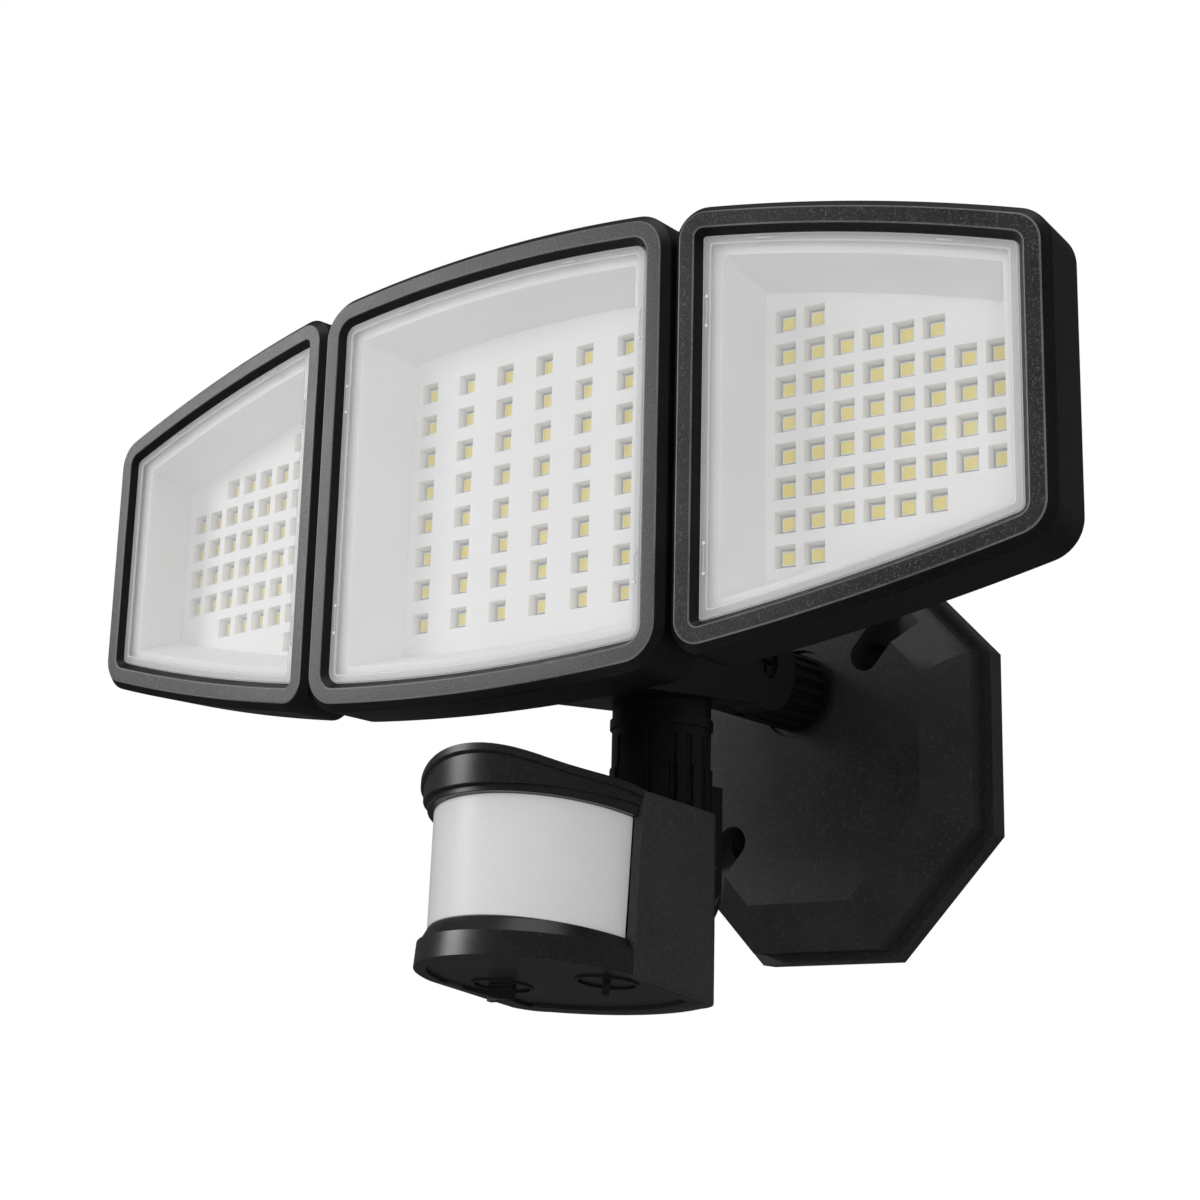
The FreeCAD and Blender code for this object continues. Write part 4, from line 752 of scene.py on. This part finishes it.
def softened(node, width, material):
    """Welded copy of a node, with its edges rounded over a width in millimetres, that stands for
    the node."""
    shape = bmesh.new()
    shape.from_mesh(nodes[node].data)
    bmesh.ops.remove_doubles(shape, verts=shape.verts, dist=WELD)
    bmesh.ops.dissolve_limit(shape, angle_limit=FLAT_ANGLE, verts=shape.verts, edges=shape.edges)
    shape.verts.index_update()
    points = [v.co[:] for v in shape.verts]
    faces = [[v.index for v in f.verts] for f in shape.faces]
    shape.free()
    mesh = bpy.data.meshes.new(node + "_body")
    mesh.from_pydata(points, [], faces)
    mesh.polygons.foreach_set("use_smooth", [True] * len(mesh.polygons))
    mesh.set_sharp_from_angle(angle=EDGE_ANGLE)
    mesh.materials.append(material)
    piece = bpy.data.objects.new(node + "_body", mesh)
    bpy.context.scene.collection.objects.link(piece)
    bevel = piece.modifiers.new("soften", "BEVEL")
    bevel.width = width * MM
    bevel.segments = BEVEL_STEPS
    bevel.limit_method = "ANGLE"
    bevel.angle_limit = EDGE_ANGLE
    bevel.harden_normals = True
    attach(piece, nodes[node]["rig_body"])
    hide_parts(node)


SOFT_BODIES = {"mounting_plate": (0.45, PLATE_BLACK_PAINTED_LIGHT), "base_knuckle": (0.25, BODY_BLACK),
               "driver_housing": (0.7, BODY_BLACK), "sensor_post": (0.2, BODY_BLACK),
               "sensor_housing": (0.45, HOUSING_BLACK_PAINTED_LIGHT), "sensor_cap": (0.2, SENSOR_BLACK),
               "sensor_base": (0.25, SENSOR_BLACK), "left_knob": (0.2, SENSOR_BLACK),
               "right_knob": (0.2, SENSOR_BLACK), "centre_shell": (0.4, BODY_BLACK),
               "left_shell": (0.4, BODY_BLACK), "right_shell": (0.4, BODY_BLACK)}
for node, (width, finish) in SOFT_BODIES.items():
    softened(node, width, finish)
softened("sensor_lens", 0.2, LENS_WHITE)

# %% [markdown]
# ## Finishes of the nodes that stay
#
# The trays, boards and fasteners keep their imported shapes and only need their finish. A node that a
# piece stands for gets one too, though it isn't seen.

# %% Materials on CAD nodes
def finish_of(node):
    """Finish for a CAD node, by what the end of its name says it is."""
    endings = (("_cover", CLEAR), ("_tray", REFLECTOR), ("board", BOARD_WHITE),
               ("heat_plate", ALUMINIUM), ("gasket", FOAM), ("washer", STEEL), ("detector", STEEL),
               ("pin", BLACK_STEEL), ("bolt", BLACK_STEEL), ("tilt_nut", BLACK_STEEL),
               ("sensor_nut", BLACK_STEEL))
    for ending, material in endings:
        if node.endswith(ending):
            return material
    return BLACK_STEEL if "screw" in node else BODY_BLACK


for name, piece in nodes.items():
    piece.data.materials.clear()
    piece.data.materials.append(finish_of(name))

# %% [markdown]
# ## Floor, air and lamps
#
# The photograph is a studio picture on white. A large soft lamp stands at the front left, which
# whitens the left of the lens and draws the grey sheen on the frames. Weak ones fill from above
# and from the right, and the right one only reaches matt surfaces, such as the LED pockets.
# The white behind comes only from what camera rays see, never from more light on the object.

# %% Floor
FLOOR_Z = -0.6
FLOOR_HALF = 4.0
FLOOR_PALE = (0.8, 0.8, 0.8, 1.0)
FLOOR_IN_GLOSS = (0.09, 0.09, 0.09, 1.0)
FLOOR_ROUGH = 0.8
FLOOR_WHITE = 0.8


def white_for_camera(tree, shader, white, share, place):
    """Mix Shader that swaps a share of a shader for white light where the ray is the camera's."""
    path = add_node(tree, "ShaderNodeLightPath", (place[0], place[1] + 300))
    part = add_node(tree, "ShaderNodeMath", (place[0] + 200, place[1] + 200), operation="MULTIPLY")
    part.inputs[1].default_value = share
    tree.links.new(path.outputs["Is Camera Ray"], part.inputs[0])
    mix = add_node(tree, "ShaderNodeMixShader", (place[0] + 400, place[1]))
    tree.links.new(part.outputs["Value"], mix.inputs["Fac"])
    tree.links.new(shader, mix.inputs[1])
    tree.links.new(white, mix.inputs[2])
    return mix.outputs["Shader"]


def dimmer_in_gloss(tree, plain, dim, place):
    """Colour that is plain, and dim for rays that left a glossy surface, as with dark cloths round
    a product."""
    path = add_node(tree, "ShaderNodeLightPath", (place[0] - 250, place[1]))
    tone = add_node(tree, "ShaderNodeMix", place, data_type="RGBA")
    tone.inputs["A"].default_value = plain
    tone.inputs["B"].default_value = dim
    tree.links.new(path.outputs["Is Glossy Ray"], tone.inputs["Factor"])
    return tone.outputs["Result"]


def make_floor():
    """Flat square below the light, pale, with a white share for the camera so that its shadow stays
    soft."""
    h, z = FLOOR_HALF, FLOOR_Z
    mesh = bpy.data.meshes.new("floor")
    mesh.from_pydata([(-h, -h, z), (h, -h, z), (h, h, z), (-h, h, z)], [], [(0, 1, 2, 3)])
    floor = bpy.data.objects.new("floor", mesh)
    bpy.context.scene.collection.objects.link(floor)
    material = bpy.data.materials.new("pale_floor")
    material.use_nodes = True
    tree = material.node_tree
    shader = tree.nodes["Principled BSDF"]
    tone = dimmer_in_gloss(tree, FLOOR_PALE, FLOOR_IN_GLOSS, (-300, 0))
    tree.links.new(tone, shader.inputs["Base Color"])
    shader.inputs["Roughness"].default_value = FLOOR_ROUGH
    white = add_node(tree, "ShaderNodeEmission", (0, -300))
    out = white_for_camera(tree, shader.outputs["BSDF"], white.outputs["Emission"], FLOOR_WHITE,
                           (300, 0))
    tree.links.new(out, tree.nodes["Material Output"].inputs["Surface"])
    mesh.materials.append(material)


make_floor()

# %% World
AIR = (0.46, 0.46, 0.46, 1.0)
AIR_IN_GLOSS = (0.10, 0.10, 0.10, 1.0)


def make_world():
    """Plain grey air for light and gloss, white where the camera looks past the object."""
    world = bpy.data.worlds.new("air")
    bpy.context.scene.world = world
    world.use_nodes = True
    tree = world.node_tree
    air = tree.nodes["Background"]
    tree.links.new(dimmer_in_gloss(tree, AIR, AIR_IN_GLOSS, (-300, 0)), air.inputs["Color"])
    white = add_node(tree, "ShaderNodeBackground", (0, -200))
    white.inputs["Color"].default_value = (1.0, 1.0, 1.0, 1.0)
    path = add_node(tree, "ShaderNodeLightPath", (-200, 300))
    mix = add_node(tree, "ShaderNodeMixShader", (300, 0))
    tree.links.new(path.outputs["Is Camera Ray"], mix.inputs["Fac"])
    tree.links.new(air.outputs["Background"], mix.inputs[1])
    tree.links.new(white.outputs["Background"], mix.inputs[2])
    tree.links.new(mix.outputs["Shader"], tree.nodes["World Output"].inputs["Surface"])


make_world()

# %% Lamps
LAMPS = {"key": ((-1.47, -1.32, 0.70), 0.70, 11.0, True),
         "top": ((0.2, -0.5, 1.5), 1.2, 5.0, True),
         "fill": ((0.9, -1.5, 0.0), 1.0, 6.5, False)}
TARGET = Vector((0.0, -0.13, 0.02))


def make_lamp(name, place, size, power, mirrored):
    """Square area lamp of a size in metres and a power in watts that faces the light. One that
    isn't mirrored leaves no reflection in glossy parts."""
    data = bpy.data.lights.new(name, "AREA")
    data.size = size
    data.energy = power
    lamp = bpy.data.objects.new(name, data)
    bpy.context.scene.collection.objects.link(lamp)
    lamp.location = place
    lamp.rotation_mode = "QUATERNION"
    lamp.rotation_quaternion = (TARGET - Vector(place)).to_track_quat("-Z", "Y")
    lamp.visible_camera = False
    lamp.visible_glossy = mirrored


for name, (place, size, power, mirrored) in LAMPS.items():
    make_lamp(name, place, size, power, mirrored)
